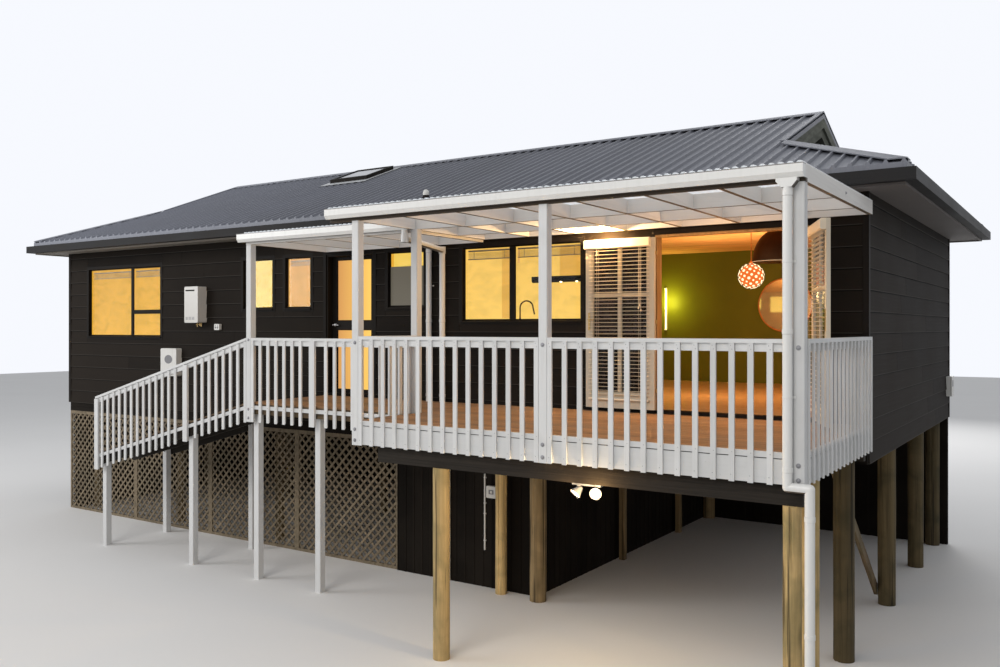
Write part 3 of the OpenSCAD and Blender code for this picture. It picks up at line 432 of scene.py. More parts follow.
LIP_HIDES = 0.112
FRONT_BEAM_OUT = 2.53
# Painted shade on the downward faces of the canopy's frame.
shade_undersides(white_canopy, (0.17, 0.13, 0.09))
# Painted shade: a dark brown band on the front beam, below the gutter's lip.
below_lip_shade = white_canopy.part(2) < house_box("canopy_gutters")[1].z - LIP_HIDES
front_beam_shade = white_canopy.part(1) < ORIGIN.y - FRONT_BEAM_OUT
tint(white_canopy, (0.045, 0.032, 0.020), below_lip_shade * front_beam_shade)
door_cream = white_paint("door_cream", (0.62, 0.56, 0.45), UPRIGHT, grime=0.3)

# %% [markdown]
# Gutters and pipes are moulded plastic: smooth, with a soft gloss and faint streaks where water has
# run down them. The same recipe with a little more dust makes the lamp bodies and service boxes.

# %% Moulded plastic


def moulded(name, colour, sheen=0.3, dusty=0.3):
    """Smooth plastic with faint streaks of dirt."""
    finish = Finish(name, specular=0.5)
    runs = finish.spread(finish.noise(1.0, (24.0, 24.0, 0.8), detail=4.0), 0.5, 0.8, 0.0, dusty)
    cloud = finish.spread(finish.noise(5.0, detail=3.0), 0.3, 0.7, 0.96, 1.03)
    clean = finish.mix(shades(colour, 0.95), shades(colour, 1.03), cloud)
    finish.show(base_color=finish.mix(clean, shades(GRIME, 1.3), runs))
    finish.show(roughness=sheen + 0.25 * runs)
    return finish.relief(finish.noise(180.0, detail=1.0), 0.0002, 0.25)


MAIN_LIP = 4.789
SIDE_LIP = 4.754
SIDE_GUTTER_OUT = 2.0
gutter_white = moulded("gutter_white", (0.67, 0.665, 0.645), dusty=0.14)
# Painted shade on the downward faces of the gutters and pipes.
shade_undersides(gutter_white, (0.060, 0.045, 0.035))
# Painted shadow: a dark line along the top of each gutter, under the edge of the sheets.
gutter_height, gutter_place = gutter_white.part(2), gutter_white.part(1)
main_lip_shadow = (gutter_height > MAIN_LIP) * (gutter_place < ORIGIN.y - SIDE_GUTTER_OUT)
side_lip_shadow = (gutter_height > SIDE_LIP) * (gutter_place > ORIGIN.y - SIDE_GUTTER_OUT)
tint(gutter_white, (0.16, 0.15, 0.14), main_lip_shadow + side_lip_shadow)
plastic_white = moulded("plastic_white", (0.62, 0.61, 0.58), sheen=0.4)
plastic_grey = moulded("plastic_grey", (0.16, 0.16, 0.17), sheen=0.45)
enamel = moulded("enamel", (0.56, 0.54, 0.51), sheen=0.26, dusty=0.12)

# %% [markdown]
# The roof is painted steel, pressed into narrow ribs. The paint has faded in broad patches, rain has
# left long streaks down the slope, and each sheet is a shade apart from the next. The sheets are made
# here by rounding the place along the ridge, so the steps fall every five ribs.

# %% Roof steel
SHEET_WIDTH = 0.84
LIGHTER_LEFT = (ORIGIN.x - 14.0, ORIGIN.x - 6.5)


def roof_paint(name, colour, across):
    """Faded paint on steel sheets that lie side by side along one axis."""
    finish = Finish(name, metallic=0.25, specular=0.55)
    # The paint is lighter towards the left end of the house.
    lighter_left = finish.spread(finish.part(0), *LIGHTER_LEFT, 0.55, 0.0)
    sheet = finish.node("ShaderNodeMath", {"operation": "FLOOR"},
                        {0: finish.part(across) / SHEET_WIDTH})
    shade = finish.node("ShaderNodeTexWhiteNoise", {"noise_dimensions": "1D"}, {"W": sheet}, "Value")
    streaks = finish.noise(1.0, (30.0, 0.9, 0.9) if across == 0 else (0.9, 30.0, 0.9), detail=5.0)
    fade = finish.noise(0.7, detail=5.0, warp=0.5)
    paint = finish.mix(shades(colour, 0.92), shades(colour, 1.08), shade)
    faded = finish.mix(paint, shades(colour, 1.5), finish.spread(fade, 0.4, 0.75, 0.0, 0.6))
    dull = finish.spread(streaks, 0.5, 0.78, 0.0, 0.45)
    streaked = finish.mix(faded, shades(colour, 0.6), dull)
    finish.show(base_color=finish.mix(streaked, shades(colour, 2.1), lighter_left))
    finish.show(roughness=0.36 + 0.25 * fade)
    return finish.relief(finish.noise(90.0, detail=2.0), 0.0003, 0.3)


SLATE = (0.100, 0.105, 0.125)
roof_long = roof_paint("roof_long", SLATE, across=0)
roof_short = roof_paint("roof_short", SLATE, across=1)
roof_trim = roof_paint("roof_trim", shades(SLATE, 0.9), across=0)

# %% [markdown]
# Timber in the open turns grey, brown or green. One function gives all of it: rings of grain along
# the piece, knots from a cell pattern, a stain that creeps over it, and dark drying cracks.

# %% Timber


def timber(name, colour, grain_way, stain=(0.10, 0.10, 0.04), stained=0.4, knots=0.5, sheen=0.7,
           split=0.0):
    """Grained wood with knots, a stain and drying cracks."""
    finish = Finish(name, specular=0.25)
    grain = finish.noise(1.0, grain_way, detail=8.0, warp=0.3)
    fibre = finish.noise(1.0, tuple(4.0 * g for g in grain_way), detail=3.0)
    knot_place = finish.node("ShaderNodeMapping", {}, {
        "Vector": finish.place, "Scale": tuple(g ** 0.35 for g in grain_way)})
    cells = finish.node("ShaderNodeTexVoronoi", {"feature": "F1"},
                        {"Vector": knot_place, "Scale": 1.3}, "Distance")
    knot = finish.spread(cells, 0.05, 0.16, knots, 0.0)
    board = finish.mix(shades(colour, 0.75), shades(colour, 1.22), finish.each())
    ringed = finish.mix(board, shades(colour, 0.5), finish.spread(grain, 0.42, 0.68, 0.0, 0.75))
    fibrous = finish.mix(ringed, shades(colour, 1.6), finish.spread(fibre, 0.55, 0.8, 0.0, 0.35))
    knotted = finish.mix(fibrous, shades(colour, 0.3), knot)
    creep = finish.spread(finish.noise(2.2, detail=5.0, warp=0.8), 0.45, 0.7, 0.0, stained)
    stained_wood = finish.mix(knotted, stain, creep)
    line = finish.noise(1.0, tuple(0.55 * g for g in grain_way), detail=2.0, warp=0.5)
    cracks = finish.spread(line, 0.60, 0.64, 0.0, split)
    finish.show(base_color=finish.mix(stained_wood, shades(colour, 0.16), cracks))
    finish.show(roughness=sheen + 0.2 * grain)
    return finish.relief(grain + 0.4 * fibre, 0.003, 0.8)


POLE_GREEN = (0.105, 0.105, 0.045)
TRUNK = (26.0, 26.0, 0.8)
pole_tan = timber("pole_tan", (0.58, 0.41, 0.185), TRUNK, POLE_GREEN, stained=0.6, knots=0.8,
                  split=0.9)
pole_dark = timber("pole_dark", (0.100, 0.074, 0.036), TRUNK, (0.030, 0.028, 0.012), stained=0.7,
                   split=0.8)
pole_brown = timber("pole_brown", (0.27, 0.19, 0.095), TRUNK, (0.09, 0.07, 0.035), stained=0.6,
                    split=0.8)
beam_dark = timber("beam_dark", (0.017, 0.013, 0.009), ALONG, (0.012, 0.010, 0.007), knots=0.2)
joist_brown = timber("joist_brown", (0.13, 0.090, 0.055), (6.0, 6.0, 25.0), knots=0.3)
brace_brown = timber("brace_brown", (0.15, 0.105, 0.060), (30.0, 5.0, 5.0))
lattice_grey = timber("lattice_grey", (0.190, 0.148, 0.098), (18.0, 18.0, 18.0), (0.10, 0.09, 0.06))
deck_oiled = timber("deck_oiled", (0.30, 0.165, 0.080), (1.5, 40.0, 40.0), (0.16, 0.13, 0.10),
                    stained=0.45, knots=0.3, sheen=0.5)
ramp_oiled = timber("ramp_oiled", (0.22, 0.15, 0.095), (40.0, 1.5, 40.0), (0.12, 0.12, 0.10),
                    stained=0.6, knots=0.3, sheen=0.6)
barge_grey = timber("barge_grey", (0.16, 0.165, 0.135), (1.5, 3.0, 12.0), (0.07, 0.075, 0.05))
floor_gold = timber("floor_gold", (0.34, 0.20, 0.095), (1.2, 40.0, 40.0), stained=0.1, knots=0.3,
                    sheen=0.28)
frame_gold = timber("frame_gold", (0.42, 0.25, 0.11), (20.0, 20.0, 2.0), stained=0.1, knots=0.2,
                    sheen=0.35)
ceiling_pine = timber("ceiling_pine", (0.80, 0.42, 0.17), (1.0, 26.0, 26.0), (0.55, 0.24, 0.09),
                      stained=0.3, knots=0.6, sheen=0.38)

# %% [markdown]
# Inside, one wall is olive green. Outside, the lining under the eaves is painted brown. Both are
# plain paint, so they get only broad clouds of tone, and the fine dimples that a roller leaves.

# %% Rolled paint


def rolled(name, colour, sheen=0.6):
    """Plain paint, laid on with a roller."""
    finish = Finish(name)
    cloud = finish.noise(1.5, detail=4.0, warp=0.4)
    soft = finish.mix(shades(colour, 0.88), shades(colour, 1.12), finish.spread(cloud, 0.3, 0.7))
    finish.show(base_color=soft, roughness=sheen + 0.1 * cloud)
    return finish.relief(finish.noise(220.0, detail=2.0), 0.0004, 0.5)


wall_green = rolled("wall_green", (0.090, 0.098, 0.007), sheen=0.5)
soffit_paint = rolled("soffit_paint", (0.20, 0.175, 0.145))
inner_white = rolled("inner_white", (0.62, 0.50, 0.34))
slats_cream = rolled("slats_cream", (0.84, 0.73, 0.56), sheen=0.45)
# The paint under the eaves is darker towards the right end of the house.
darker_right_end = soffit_paint.spread(soffit_paint.part(0), ORIGIN.x - 9.0, ORIGIN.x - 5.0)
tint(soffit_paint, (0.105, 0.090, 0.082), darker_right_end)
slats_grey = rolled("slats_grey", (0.34, 0.28, 0.20), sheen=0.5)

# %% [markdown]
# Metal is the fitting stuff of a house: copper on the ball lamp and the mirror, bright steel on the
# entry door's handles, brass on the glazed leaves, and grey zinc on screws and bolts. Fine brushing
# in one direction breaks up the shine.

# %% Metal


def metal(name, colour, sheen, tarnish=0.2):
    """Brushed metal with spots of tarnish."""
    finish = Finish(name, metallic=0.9)
    brushed = finish.noise(1.0, (180.0, 180.0, 12.0), detail=3.0)
    spots = finish.spread(finish.noise(14.0, detail=4.0), 0.5, 0.75, 0.0, tarnish)
    finish.show(base_color=finish.mix(colour, shades(colour, 0.35), spots))
    finish.show(roughness=sheen + 0.12 * brushed + 0.3 * spots)
    return finish


copper = metal("copper", (0.72, 0.30, 0.14), 0.25)
bright_steel = metal("bright_steel", (0.62, 0.61, 0.60), 0.18, tarnish=0.1)
zinc = metal("zinc", (0.30, 0.30, 0.31), 0.5, tarnish=0.4)
brass = metal("brass", (0.55, 0.38, 0.16), 0.3)
dome_grey = metal("dome_grey", (0.075, 0.040, 0.020), 0.5, tarnish=0.2)
mirror_silver = metal("mirror_silver", (0.90, 0.88, 0.84), 0.0, tarnish=0.0)

# %% [markdown]
# Real panes are clear and the rooms behind them glow. A pane is thin glass that mostly lets light
# through. Behind it stands the lit room: a panel whose glow changes with height and in soft clouds,
# so that it reads as a deep room from outside.

# %% Glass and glow
GLOW_RISE = (3.3, 4.6)
ENTRY_PANE = (ORIGIN.x - 7.62, ORIGIN.x - 6.98)


def glass(name, tint, rough=0.02, clear=0.85):
    """Thin clear glass with smears on it."""
    finish = Finish(name, ior=1.2, transmission_weight=1.0)
    smears = finish.noise(3.0, (1.0, 1.0, 2.0), detail=5.0, warp=0.8)
    finish.show(base_color=finish.mix(tint, shades(tint, clear), finish.spread(smears, 0.4, 0.8)))
    finish.show(roughness=rough + 0.05 * finish.spread(smears, 0.55, 0.9))
    return finish


def glow(name, colour, strength, edge=None, base=(0.10, 0.07, 0.035)):
    """A surface that shines, and changes colour with its height."""
    finish = Finish(name, emission_strength=strength, roughness=0.7, specular=0.1)
    rise = finish.spread(finish.part(2), *GLOW_RISE, 0.0, 0.6)
    cloud = rise + 0.2 * finish.spread(finish.noise(0.45, detail=1.0), 0.3, 0.75)
    finish.show(base_color=finish.mix(base, shades(base, 0.8), cloud))
    finish.show(emission_color=finish.mix(colour, edge or shades(colour, 0.8), cloud))
    return finish


pane_clear = glass("pane_clear", (0.96, 0.97, 0.97))
pane_dark = moulded("pane_dark", (0.030, 0.036, 0.045), sheen=0.08, dusty=0.1)
flashing = moulded("flashing", (0.42, 0.43, 0.44), sheen=0.5)
# The misted pane is a faint glow: painted light of the room behind it.
misted_pane_glow = glow("misted_pane_glow", (0.085, 0.072, 0.050), 1.0, base=(0.10, 0.10, 0.09))
room_glow = glow("room_glow", (0.86, 0.46, 0.045), 1.0, edge=(0.72, 0.36, 0.030))
kitchen_glow = glow("kitchen_glow", (1.0, 0.64, 0.135), 1.0, edge=(0.90, 0.52, 0.10))
hall_glow = glow("hall_glow", (0.72, 0.34, 0.025), 1.0, edge=(0.60, 0.26, 0.020))
bright_glow = glow("bright_glow", (0.96, 0.68, 0.13), 1.0, edge=(0.86, 0.56, 0.09))
kitchen_shade = glow("kitchen_shade", (0.82, 0.45, 0.075), 1.0, edge=(0.74, 0.38, 0.060))
# Painted light: a warm glow for light on a copper edge, also used on one window's reveal.
bright_edge = glow("bright_edge", (0.90, 0.48, 0.13), 1.0)
bulb_glow = glow("bulb_glow", (1.0, 0.72, 0.36), 7.0, edge=(1.0, 0.80, 0.50))
strip_glow = glow("strip_glow", (1.0, 0.88, 0.30), 6.0)
petal_glow = glow("petal_glow", (1.0, 0.80, 0.52), 1.7, edge=(1.0, 0.70, 0.40))
# The entry door's panes glow with painted light of the hall behind: orange at the left, yellower at
# the right.
door_glow = glow("door_glow", (0.68, 0.34, 0.090), 1.0)
across_pane = door_glow.spread(door_glow.part(0), *ENTRY_PANE)
door_glow.show(emission_color=door_glow.mix((0.66, 0.31, 0.085), (1.0, 0.60, 0.12), across_pane))
lamp_glass = glow("lamp_glass", (1.0, 0.86, 0.62), 14.0, edge=(1.0, 0.80, 0.52))
core_glow = glow("core_glow", (1.0, 0.20, 0.025), 0.9, edge=(0.85, 0.12, 0.015))
# Painted light: the inside of the dome lamp and the strip lamp's channel glow as if lit by their
# lamps.
lamp_shade_glow = glow("lamp_shade_glow", (1.0, 0.72, 0.42), 0.55, base=(0.70, 0.62, 0.50))
print("finishes:", len(bpy.data.materials))

# %% [markdown]
# The photograph was taken ten metres before the right end of the house, from a little above the
# deck, with the camera held level, so upright lines stay upright. The focal length was found from
# the two vanishing points of the house. A camera set by script keeps the view the same on every run.

# %% Camera
PHOTO_WIDTH = 1000
PHOTO_HEIGHT = 667
FOCAL_PIXELS = 903.1
HORIZON_PIXEL = 328.1
HEADING = 33.5
STANDPOINT = Vector((2.009, -10.0, 3.470))

lens = bpy.data.cameras.new("camera")
lens.sensor_width = 36.0
lens.lens = FOCAL_PIXELS / PHOTO_WIDTH * lens.sensor_width
lens.shift_y = -(PHOTO_HEIGHT / 2 - HORIZON_PIXEL) / PHOTO_WIDTH
lens.clip_end = 300.0
camera = bpy.data.objects.new("camera", lens)
camera.location = STANDPOINT + ORIGIN
camera.rotation_euler = (math.radians(90.0), 0.0, math.radians(HEADING))
bpy.context.scene.collection.objects.link(camera)
bpy.context.scene.camera = camera
print("lens:", round(lens.lens, 2), "mm, shift:", round(lens.shift_y, 4))

# %% [markdown]
# Boards come in lengths, and windows interrupt them. One function cuts every row of boards on the
# house: it takes the rows one by one, splits each at the edges of the openings, leaves out what lies
# in an opening, and breaks long stretches at seeded random joints, as a carpenter would.

# %% Rows of boards
GAP = 0.002
BOARD_LENGTH = 4.8
SHORTEST = 0.6
KEEP_OFF = 0.4
THINNEST = 0.012
NARROWEST = 0.01
carpenter = random.Random(7121)


def rows(span, low, high, pitch, openings=(), gap=0.0):
    """Boards along a wall or a floor as (start, end, low, high, foot of the row)."""
    boards = []
    for row in range(math.ceil((high - low) / pitch - 1e-6)):
        foot = low + row * pitch
        head = min(foot + pitch - gap, high)
        cuts = {span[0], span[1]}
        for left, right, bottom, top in openings:
            if bottom < head and top > foot:
                cuts |= {min(max(side, span[0]), span[1]) for side in (left, right)}
        joint = span[0] + BOARD_LENGTH * carpenter.uniform(0.3, 1.0)
        while joint < span[1] - SHORTEST:
            if min(abs(joint - place) for place in cuts) > KEEP_OFF:
                cuts.add(joint)
            joint += BOARD_LENGTH
        cuts = sorted(cuts)
        for start, end in zip(cuts, cuts[1:]):
            free = [(foot, head)]
            for left, right, bottom, top in openings:
                if left < end - 1e-4 and right > start + 1e-4:
                    parts = []
                    for down, up in free:
                        parts += [(down, min(up, bottom)), (max(down, top), up)]
                    free = [part for part in parts if part[1] - part[0] > THINNEST]
            if end - start > NARROWEST:
                boards += [(start + GAP / 2, end - GAP / 2, down, up, foot) for down, up in free]
    return boards


print("joints are seeded, and boards are", BOARD_LENGTH, "m long")

# %% [markdown]
# The walls are clad in weatherboards. Each board laps over the one below, so its foot stands out
# further than its head and throws a thin line of shade. The boards are real wedges, which cost only
# a few faces each, and the finish adds a painted shadow line under each lap and a painted highlight
# along each foot.

# %% Weatherboards
LAP = 0.229
FOOT_OUT = 0.016
HEAD_OUT = 0.004
TRIM = 0.060
TRIM_COVERS = 0.010
CORNER = 0.045
SOFFIT = house_box("soffit")[0].z + 0.02
entry_low, entry_high = house_box("entry_door_frame")
french_low, french_high = house_box("french_frame")
landing_low, landing_high = house_box("landing_boards")


def hole(box, edge=TRIM - TRIM_COVERS):
    """An opening in a wall for the rows function, with the space of its trim."""
    low, high = box
    return (low.x - edge, high.x + edge, low.z - edge, high.z + edge)


def clad(shape, axis, face, out, span, openings=()):
    """Lapped boards on one wall; face is its place, and out is the side it looks to."""
    slope = (HEAD_OUT - FOOT_OUT) / LAP
    for start, end, down, up, foot in rows(span, SKIRT, SOFFIT, LAP, openings):
        thick = [out * (FOOT_OUT + slope * (level - foot)) for level in (down, up)]
        outline = [(face, down), (face + thick[0], down), (face + thick[1], up), (face, up)]
        shape.prism(outline, (start, end), axis)


front_windows = [box for box in windows if box[0].y < 1.0]
rear_windows = [box for box in windows if box[0].y > 1.0]
front_holes = [hole(box) for box in front_windows]
front_holes += [hole((entry_low, entry_high)), hole((french_low, french_high))]
front_holes.append((deck_low.x - 0.001, deck_high.x + 0.1, SKIRT, DECK))
front_holes.append((landing_low.x, landing_high.x, SKIRT, landing_high.z))
rear_holes = [hole(box) for box in rear_windows]

level = boards_black.part(2) - SKIRT
course = level.maths("FRACT", level / LAP, 0.0)
# Painted shade in a dark line under each lap, and a painted highlight along each board's foot.
tint(boards_black, (0.001, 0.001, 0.001), boards_black.spread(course, 0.94, 0.97))
tint(boards_black, (0.048, 0.042, 0.036), boards_black.spread(course, 0.045, 0.025))

side_to_side = inset((-LENGTH, 0.0), CORNER)
front_to_rear = inset((0.0, DEPTH), CORNER)
cladding = {
    "front": [("x", 0.0, -1, side_to_side, front_holes)],
    "side": [("y", 0.0, 1, front_to_rear), ("y", -LENGTH, -1, front_to_rear)],
    "rear": [("x", DEPTH, 1, side_to_side, rear_holes)],
}
for name, walls in cladding.items():
    boards = Shape()
    for wall in walls:
        clad(boards, *wall)
    boards.piece(name + "_weatherboards", boards_black, slot="black_boards", bevel=0.0015)

# %% [markdown]
# Where boards meet a corner, a window or a door, their ends are covered: by a square stop at each
# corner and a flat facing round each opening, with a sloping sill below the windows.

# %% Corner stops and facings
TRIM_OUT = 0.017
STOP_OUT = 0.020
SILL = ((-0.020, 0.0), (-0.020, -0.030), (0.036, -0.036), (0.036, -0.014))
SILL_EAR = 0.02

trims = Shape()
for x in (0.0, -LENGTH):
    for y in (0.0, DEPTH):
        sx = (x - STOP_OUT, x + CORNER) if x < -1 else (x - CORNER, x + STOP_OUT)
        sy = (y - STOP_OUT, y + CORNER) if y < 1 else (y - CORNER, y + STOP_OUT)
        trims.block(sx, sy, (DECK if (x == 0.0 and y == 0.0) else SKIRT, SOFFIT))


def facing(shape, box, face, out, sill=True):
    """Flat boards round an opening in the front or rear wall."""
    low, high = box
    y = sorted((face, face + out * TRIM_OUT))
    tall = (low.z - TRIM, high.z + TRIM)
    shape.block((low.x - TRIM, low.x), y, tall)
    shape.block((high.x, high.x + TRIM), y, tall)
    shape.block((low.x, high.x), y, (high.z, high.z + TRIM))
    if sill:
        outline = [(face + out * reach, low.z + rise) for reach, rise in SILL]
        shape.prism(outline, inset((low.x, high.x), -SILL_EAR), "x")
        shape.block((low.x, high.x), y, (low.z - TRIM, low.z + SILL[2][1]))


for box in front_windows:
    facing(trims, box, 0.0, -1)
for box in rear_windows:
    facing(trims, box, DEPTH, 1)
for low, high in ((entry_low, entry_high), (french_low, french_high)):
    facing(trims, (Vector((low.x, 0, DECK + TRIM)), high), 0.0, -1, sill=False)
trims.piece("wall_facings", frames_black, slot="black_boards", bevel=0.002)

# %% [markdown]
# Below the floor, the base is lined with upright boards on the sheltered sides. They are plain sawn
# boards with a narrow cover strip over each joint, so both are prisms in a loop, and each board gets
# its own shade from the random value of its island.

# %% Upright boards round the base
BASE_BOARD = 0.150
BASE_JOINT = 0.003
BASE_THICK = 0.010
STRIP = 0.030
STRIP_THICK = 0.006


def board_up(shape, axis, face, out, span):
    """Upright boards on a wall below the floor, with thin strips over the joints."""
    count = round((span[1] - span[0]) / BASE_BOARD)
    pitch = (span[1] - span[0]) / count
    across = sorted((face, face + out * BASE_THICK))
    over = sorted((face, face + out * (BASE_THICK + STRIP_THICK)))
    for i in range(count):
        start = span[0] + i * pitch
        edge = (start + BASE_JOINT / 2, start + pitch - BASE_JOINT / 2)
        cover = (max(start - STRIP / 2, span[0]), start + STRIP / 2)
        for along, thick in ((edge, across), (cover, over)):
            x, y = (along, thick) if axis == "x" else (thick, along)
            shape.block(x, y, (0.0, SKIRT))


base = Shape()
carport_low, carport_high = house_box("carport_front_wall")
side_low, side_high = house_box("carport_side_wall")
rear_low, rear_high = house_box("rear_base_wall")
left_low, left_high = house_box("left_base_wall")
board_up(base, "x", rear_high.y, 1, (rear_low.x, rear_high.x))
board_up(base, "x", rear_low.y, -1, (side_high.x, rear_high.x))
board_up(base, "y", left_low.x, -1, (left_low.y, left_high.y))
board_up(base, "y", side_high.x, 1, (side_low.y, side_high.y))
board_up(base, "x", carport_low.y, -1, (carport_low.x, carport_high.x))
base.piece("base_boards", lining_black, slot="black_lining", bevel=0.001)

# %% [markdown]
# A diagonal lattice screens the space under the left half of the house. Two layers of thin slats
# cross at a right angle, one nailed over the other. Each slat is cut to its bay by clipping its
# outline against the bay's rectangle, so that no end sticks out past the frame.

# %% Lattice
SLAT = 0.034
SLAT_PITCH = 0.100
SLAT_THICK = 0.010
SLAT_BACK = 0.004
RIM = 0.045
HEAD_BAND = 0.160
HEAD_RAIL = 0.058


def clip(outline, limit, way):
    """The part of an outline below an upright line, or above it where way is -1."""
    kept = []
    for here, there in zip(outline, outline[1:] + outline[:1]):
        a, b = (limit - here[0]) * way, (limit - there[0]) * way
        if a >= 0:
            kept.append(here)
        if a * b < 0:
            t = a / (a - b)
            kept.append(tuple(p + t * (q - p) for p, q in zip(here, there)))
    return kept


def slats(shape, low, high, lean, y):
    """Diagonal slats in a bay of the X-Z plane; lean is 1 or -1, y the place of the layer."""
    across = SLAT / math.sqrt(2)
    width, height = high[0] - low[0], high[1] - low[1]
    step = SLAT_PITCH * math.sqrt(2)
    for i in range(-1, int((width + height) / step) + 2):
        head = i * step
        foot = head - height
        run = [(foot - across, 0), (foot + across, 0), (head + across, height),
               (head - across, height)]
        if lean < 0:
            run = [(width - u, v) for u, v in run]
        run = [(low[0] + u, low[1] + v) for u, v in run]
        for limit, way in ((low[0], -1), (high[0], 1)):
            run = clip(run, limit, way) if len(run) > 2 else []
        if len(run) > 2:
            shape.prism(run, (y, y + SLAT_THICK), "y")


for node in ("lattice_left", "lattice_right"):
    lattice = Shape()
    for low, high in solids(node):
        band = high.z - HEAD_BAND
        rail = band - HEAD_RAIL
        bay = ((low.x + RIM, low.z + RIM), (high.x - RIM, rail))
        slats(lattice, *bay, 1, low.y + SLAT_BACK)
        slats(lattice, *bay, -1, low.y + SLAT_BACK + SLAT_THICK)
        deep = (low.y, high.y)
        lattice.block((low.x, low.x + RIM), deep, (low.z, rail))
        lattice.block((high.x - RIM, high.x), deep, (low.z, rail))
        lattice.block((low.x + RIM, high.x - RIM), deep, (low.z, low.z + RIM))
        lattice.block((low.x, high.x), deep, (rail, band))
        for foot in (0.0, 0.081):
            board = (band + foot + 0.001, band + foot + 0.079)
            lattice.block((low.x, high.x), deep, board, finish=1)
    lattice.piece(node + "_slats", [lattice_grey, lining_black], slot="lattice_timber",
                  hides=[node])

# %% [markdown]
# The poles are whole trunks, so none is quite round or straight. Each is a tube with many rings,
# pushed in and out by smooth noise and split by long drying cracks that run up the trunk. The noise
# is read at the place of each point, so every pole differs and still comes out the same each run.

# %% Round poles
POLE_SIDES = 40
RING = 0.05
WOBBLE = 0.006
CRACK_DEEP = 0.010
CRACK_HALF = math.tau / POLE_SIDES * 0.6
THICKEST_SAWN = 0.1


def crack_depth(turn, z, seed, splits):
    """How far the cracks cut in at one place of a trunk."""
    depth = 0.0
    for n, split in enumerate(splits):
        drift = split + 0.35 * noise.noise(Vector((n * 3.3, z * 0.8, seed.x)))
        gap = abs((turn - drift + math.pi) % math.tau - math.pi)
        is_open = noise.noise(Vector((n * 9.1, seed.y, z * 1.1))) > -0.15
        if is_open and gap < CRACK_HALF:
            depth += CRACK_DEEP
    return depth


def pole(shape, low, high):
    """A trunk inside a box: never wider than the box, with cracks along it."""
    centre = (low + high) / 2
    radius = (high.x - low.x) / 2
    seed = Vector((centre.x * 3.1, centre.y * 2.3, 0.0))
    splits = [math.tau * (0.5 + 0.5 * noise.noise(seed + Vector((k * 7.7, 0, 0)))) for k in range(4)]
    count = max(3, round((high.z - low.z) / RING))
    corners = []
    for i in range(count + 1):
        z = low.z + (high.z - low.z) * i / count
        for k in range(POLE_SIDES):
            turn = math.tau * k / POLE_SIDES
            way = Vector((math.cos(turn), math.sin(turn), 0.0))
            swell = noise.noise(seed + way * 0.8 + Vector((0, 0, z * 1.3)))
            bark = noise.noise(seed * 2 + way * 3.0 + Vector((0, 0, z * 5.0)))
            r = radius - WOBBLE * (0.5 + 0.5 * swell) - 0.25 * WOBBLE * (0.5 + 0.5 * bark)
            r -= crack_depth(turn, z, seed, splits)
            corners.append(centre + way * r - Vector((0, 0, centre.z - z)))
    shape.add(corners, band_faces(count + 1, POLE_SIDES) + end_faces(count + 1, POLE_SIDES))


def planed(shape, low, high, ease=0.006):
    """An upright square post whose four edges are planed off."""
    x, y = (low.x, high.x), (low.y, high.y)
    outline = [(x[0] + ease, y[0]), (x[1] - ease, y[0]), (x[1], y[0] + ease), (x[1], y[1] - ease),
               (x[1] - ease, y[1]), (x[0] + ease, y[1]), (x[0], y[1] - ease), (x[0], y[0] + ease)]
    shape.prism(outline, (low.z, high.z), "z")


for node, finish, slot in (("front_poles", pole_tan, "round_pole"),
                           ("right_poles", pole_dark, "dark_pole"),
                           ("left_poles", pole_brown, "dark_pole")):
    trunks = Shape()
    sawn = Shape()
    for low, high in solids(node):
        if high.x - low.x > THICKEST_SAWN:
            pole(trunks, low, high)
        else:
            planed(sawn, low, high)
    trunks.piece(node + "_trunks", finish, slot=slot, hides=[node], smooth=True)
    if sawn.faces:
        sawn.piece(node + "_sawn", pole_brown, slot=slot, hides=[node])

# %% [markdown]
# The deck is laid with hardwood boards that run along the house, with open joints a few
# millimetres wide. Real gaps matter here, because light falls through them and they give the deck
# its lines at a low angle. The ramp's boards lie across it, each one tipped with the slope.

# %% Deck, landing and ramp boards
DECK_BOARD = 0.140
JOINT = 0.005
BOARD_THICK = deck_high.z - deck_low.z


def planks(shape, low, high):
    """Level boards along X between two corners, with slightly eased edges."""
    for start, end, near, far, _ in rows((low.x, high.x), low.y, high.y, DECK_BOARD, gap=JOINT):
        shape.block((start, end), (near, far), (low.z, high.z))


for node in ("deck_boards", "landing_boards"):
    laid = Shape()
    planks(laid, *house_box(node))
    laid.piece(node + "_laid", deck_oiled, slot="deck_timber", hides=[node], bevel=0.003)

ramp_low, ramp_high = house_box("ramp_boards")
RAMP_FALL = 0.27
STRINGER = 0.190
JOIST_THICK = 0.045


def on_ramp(x, below=0.0):
    """Height of the ramp's walking surface, or of a line below it."""
    return ramp_high.z - (ramp_high.x - x) * RAMP_FALL - below


def sloped(shape, x, y, top, bottom, finish=0):
    """A board that follows the ramp between two depths below its surface."""
    outline = [(x[0], on_ramp(x[0], bottom)), (x[1], on_ramp(x[1], bottom)),
               (x[1], on_ramp(x[1], top)), (x[0], on_ramp(x[0], top))]
    shape.prism(outline, y, "y", finish)


ramp = Shape()
treads = round((ramp_high.x - ramp_low.x) / DECK_BOARD)
tread = (ramp_high.x - ramp_low.x) / treads
for i in range(treads):
    x = (ramp_low.x + i * tread, ramp_low.x + (i + 1) * tread - JOINT)
    sloped(ramp, x, (ramp_low.y, ramp_high.y), 0.0, BOARD_THICK)
for y in (ramp_low.y, (ramp_low.y + ramp_high.y - JOIST_THICK) / 2, ramp_high.y - JOIST_THICK):
    sloped(ramp, (ramp_low.x, ramp_high.x), (y, y + JOIST_THICK), BOARD_THICK,
           BOARD_THICK + STRINGER, finish=1)
ramp.piece("ramp_planks", [ramp_oiled, beam_dark], slot="deck_timber", hides=["ramp_boards"],
           bevel=0.002)
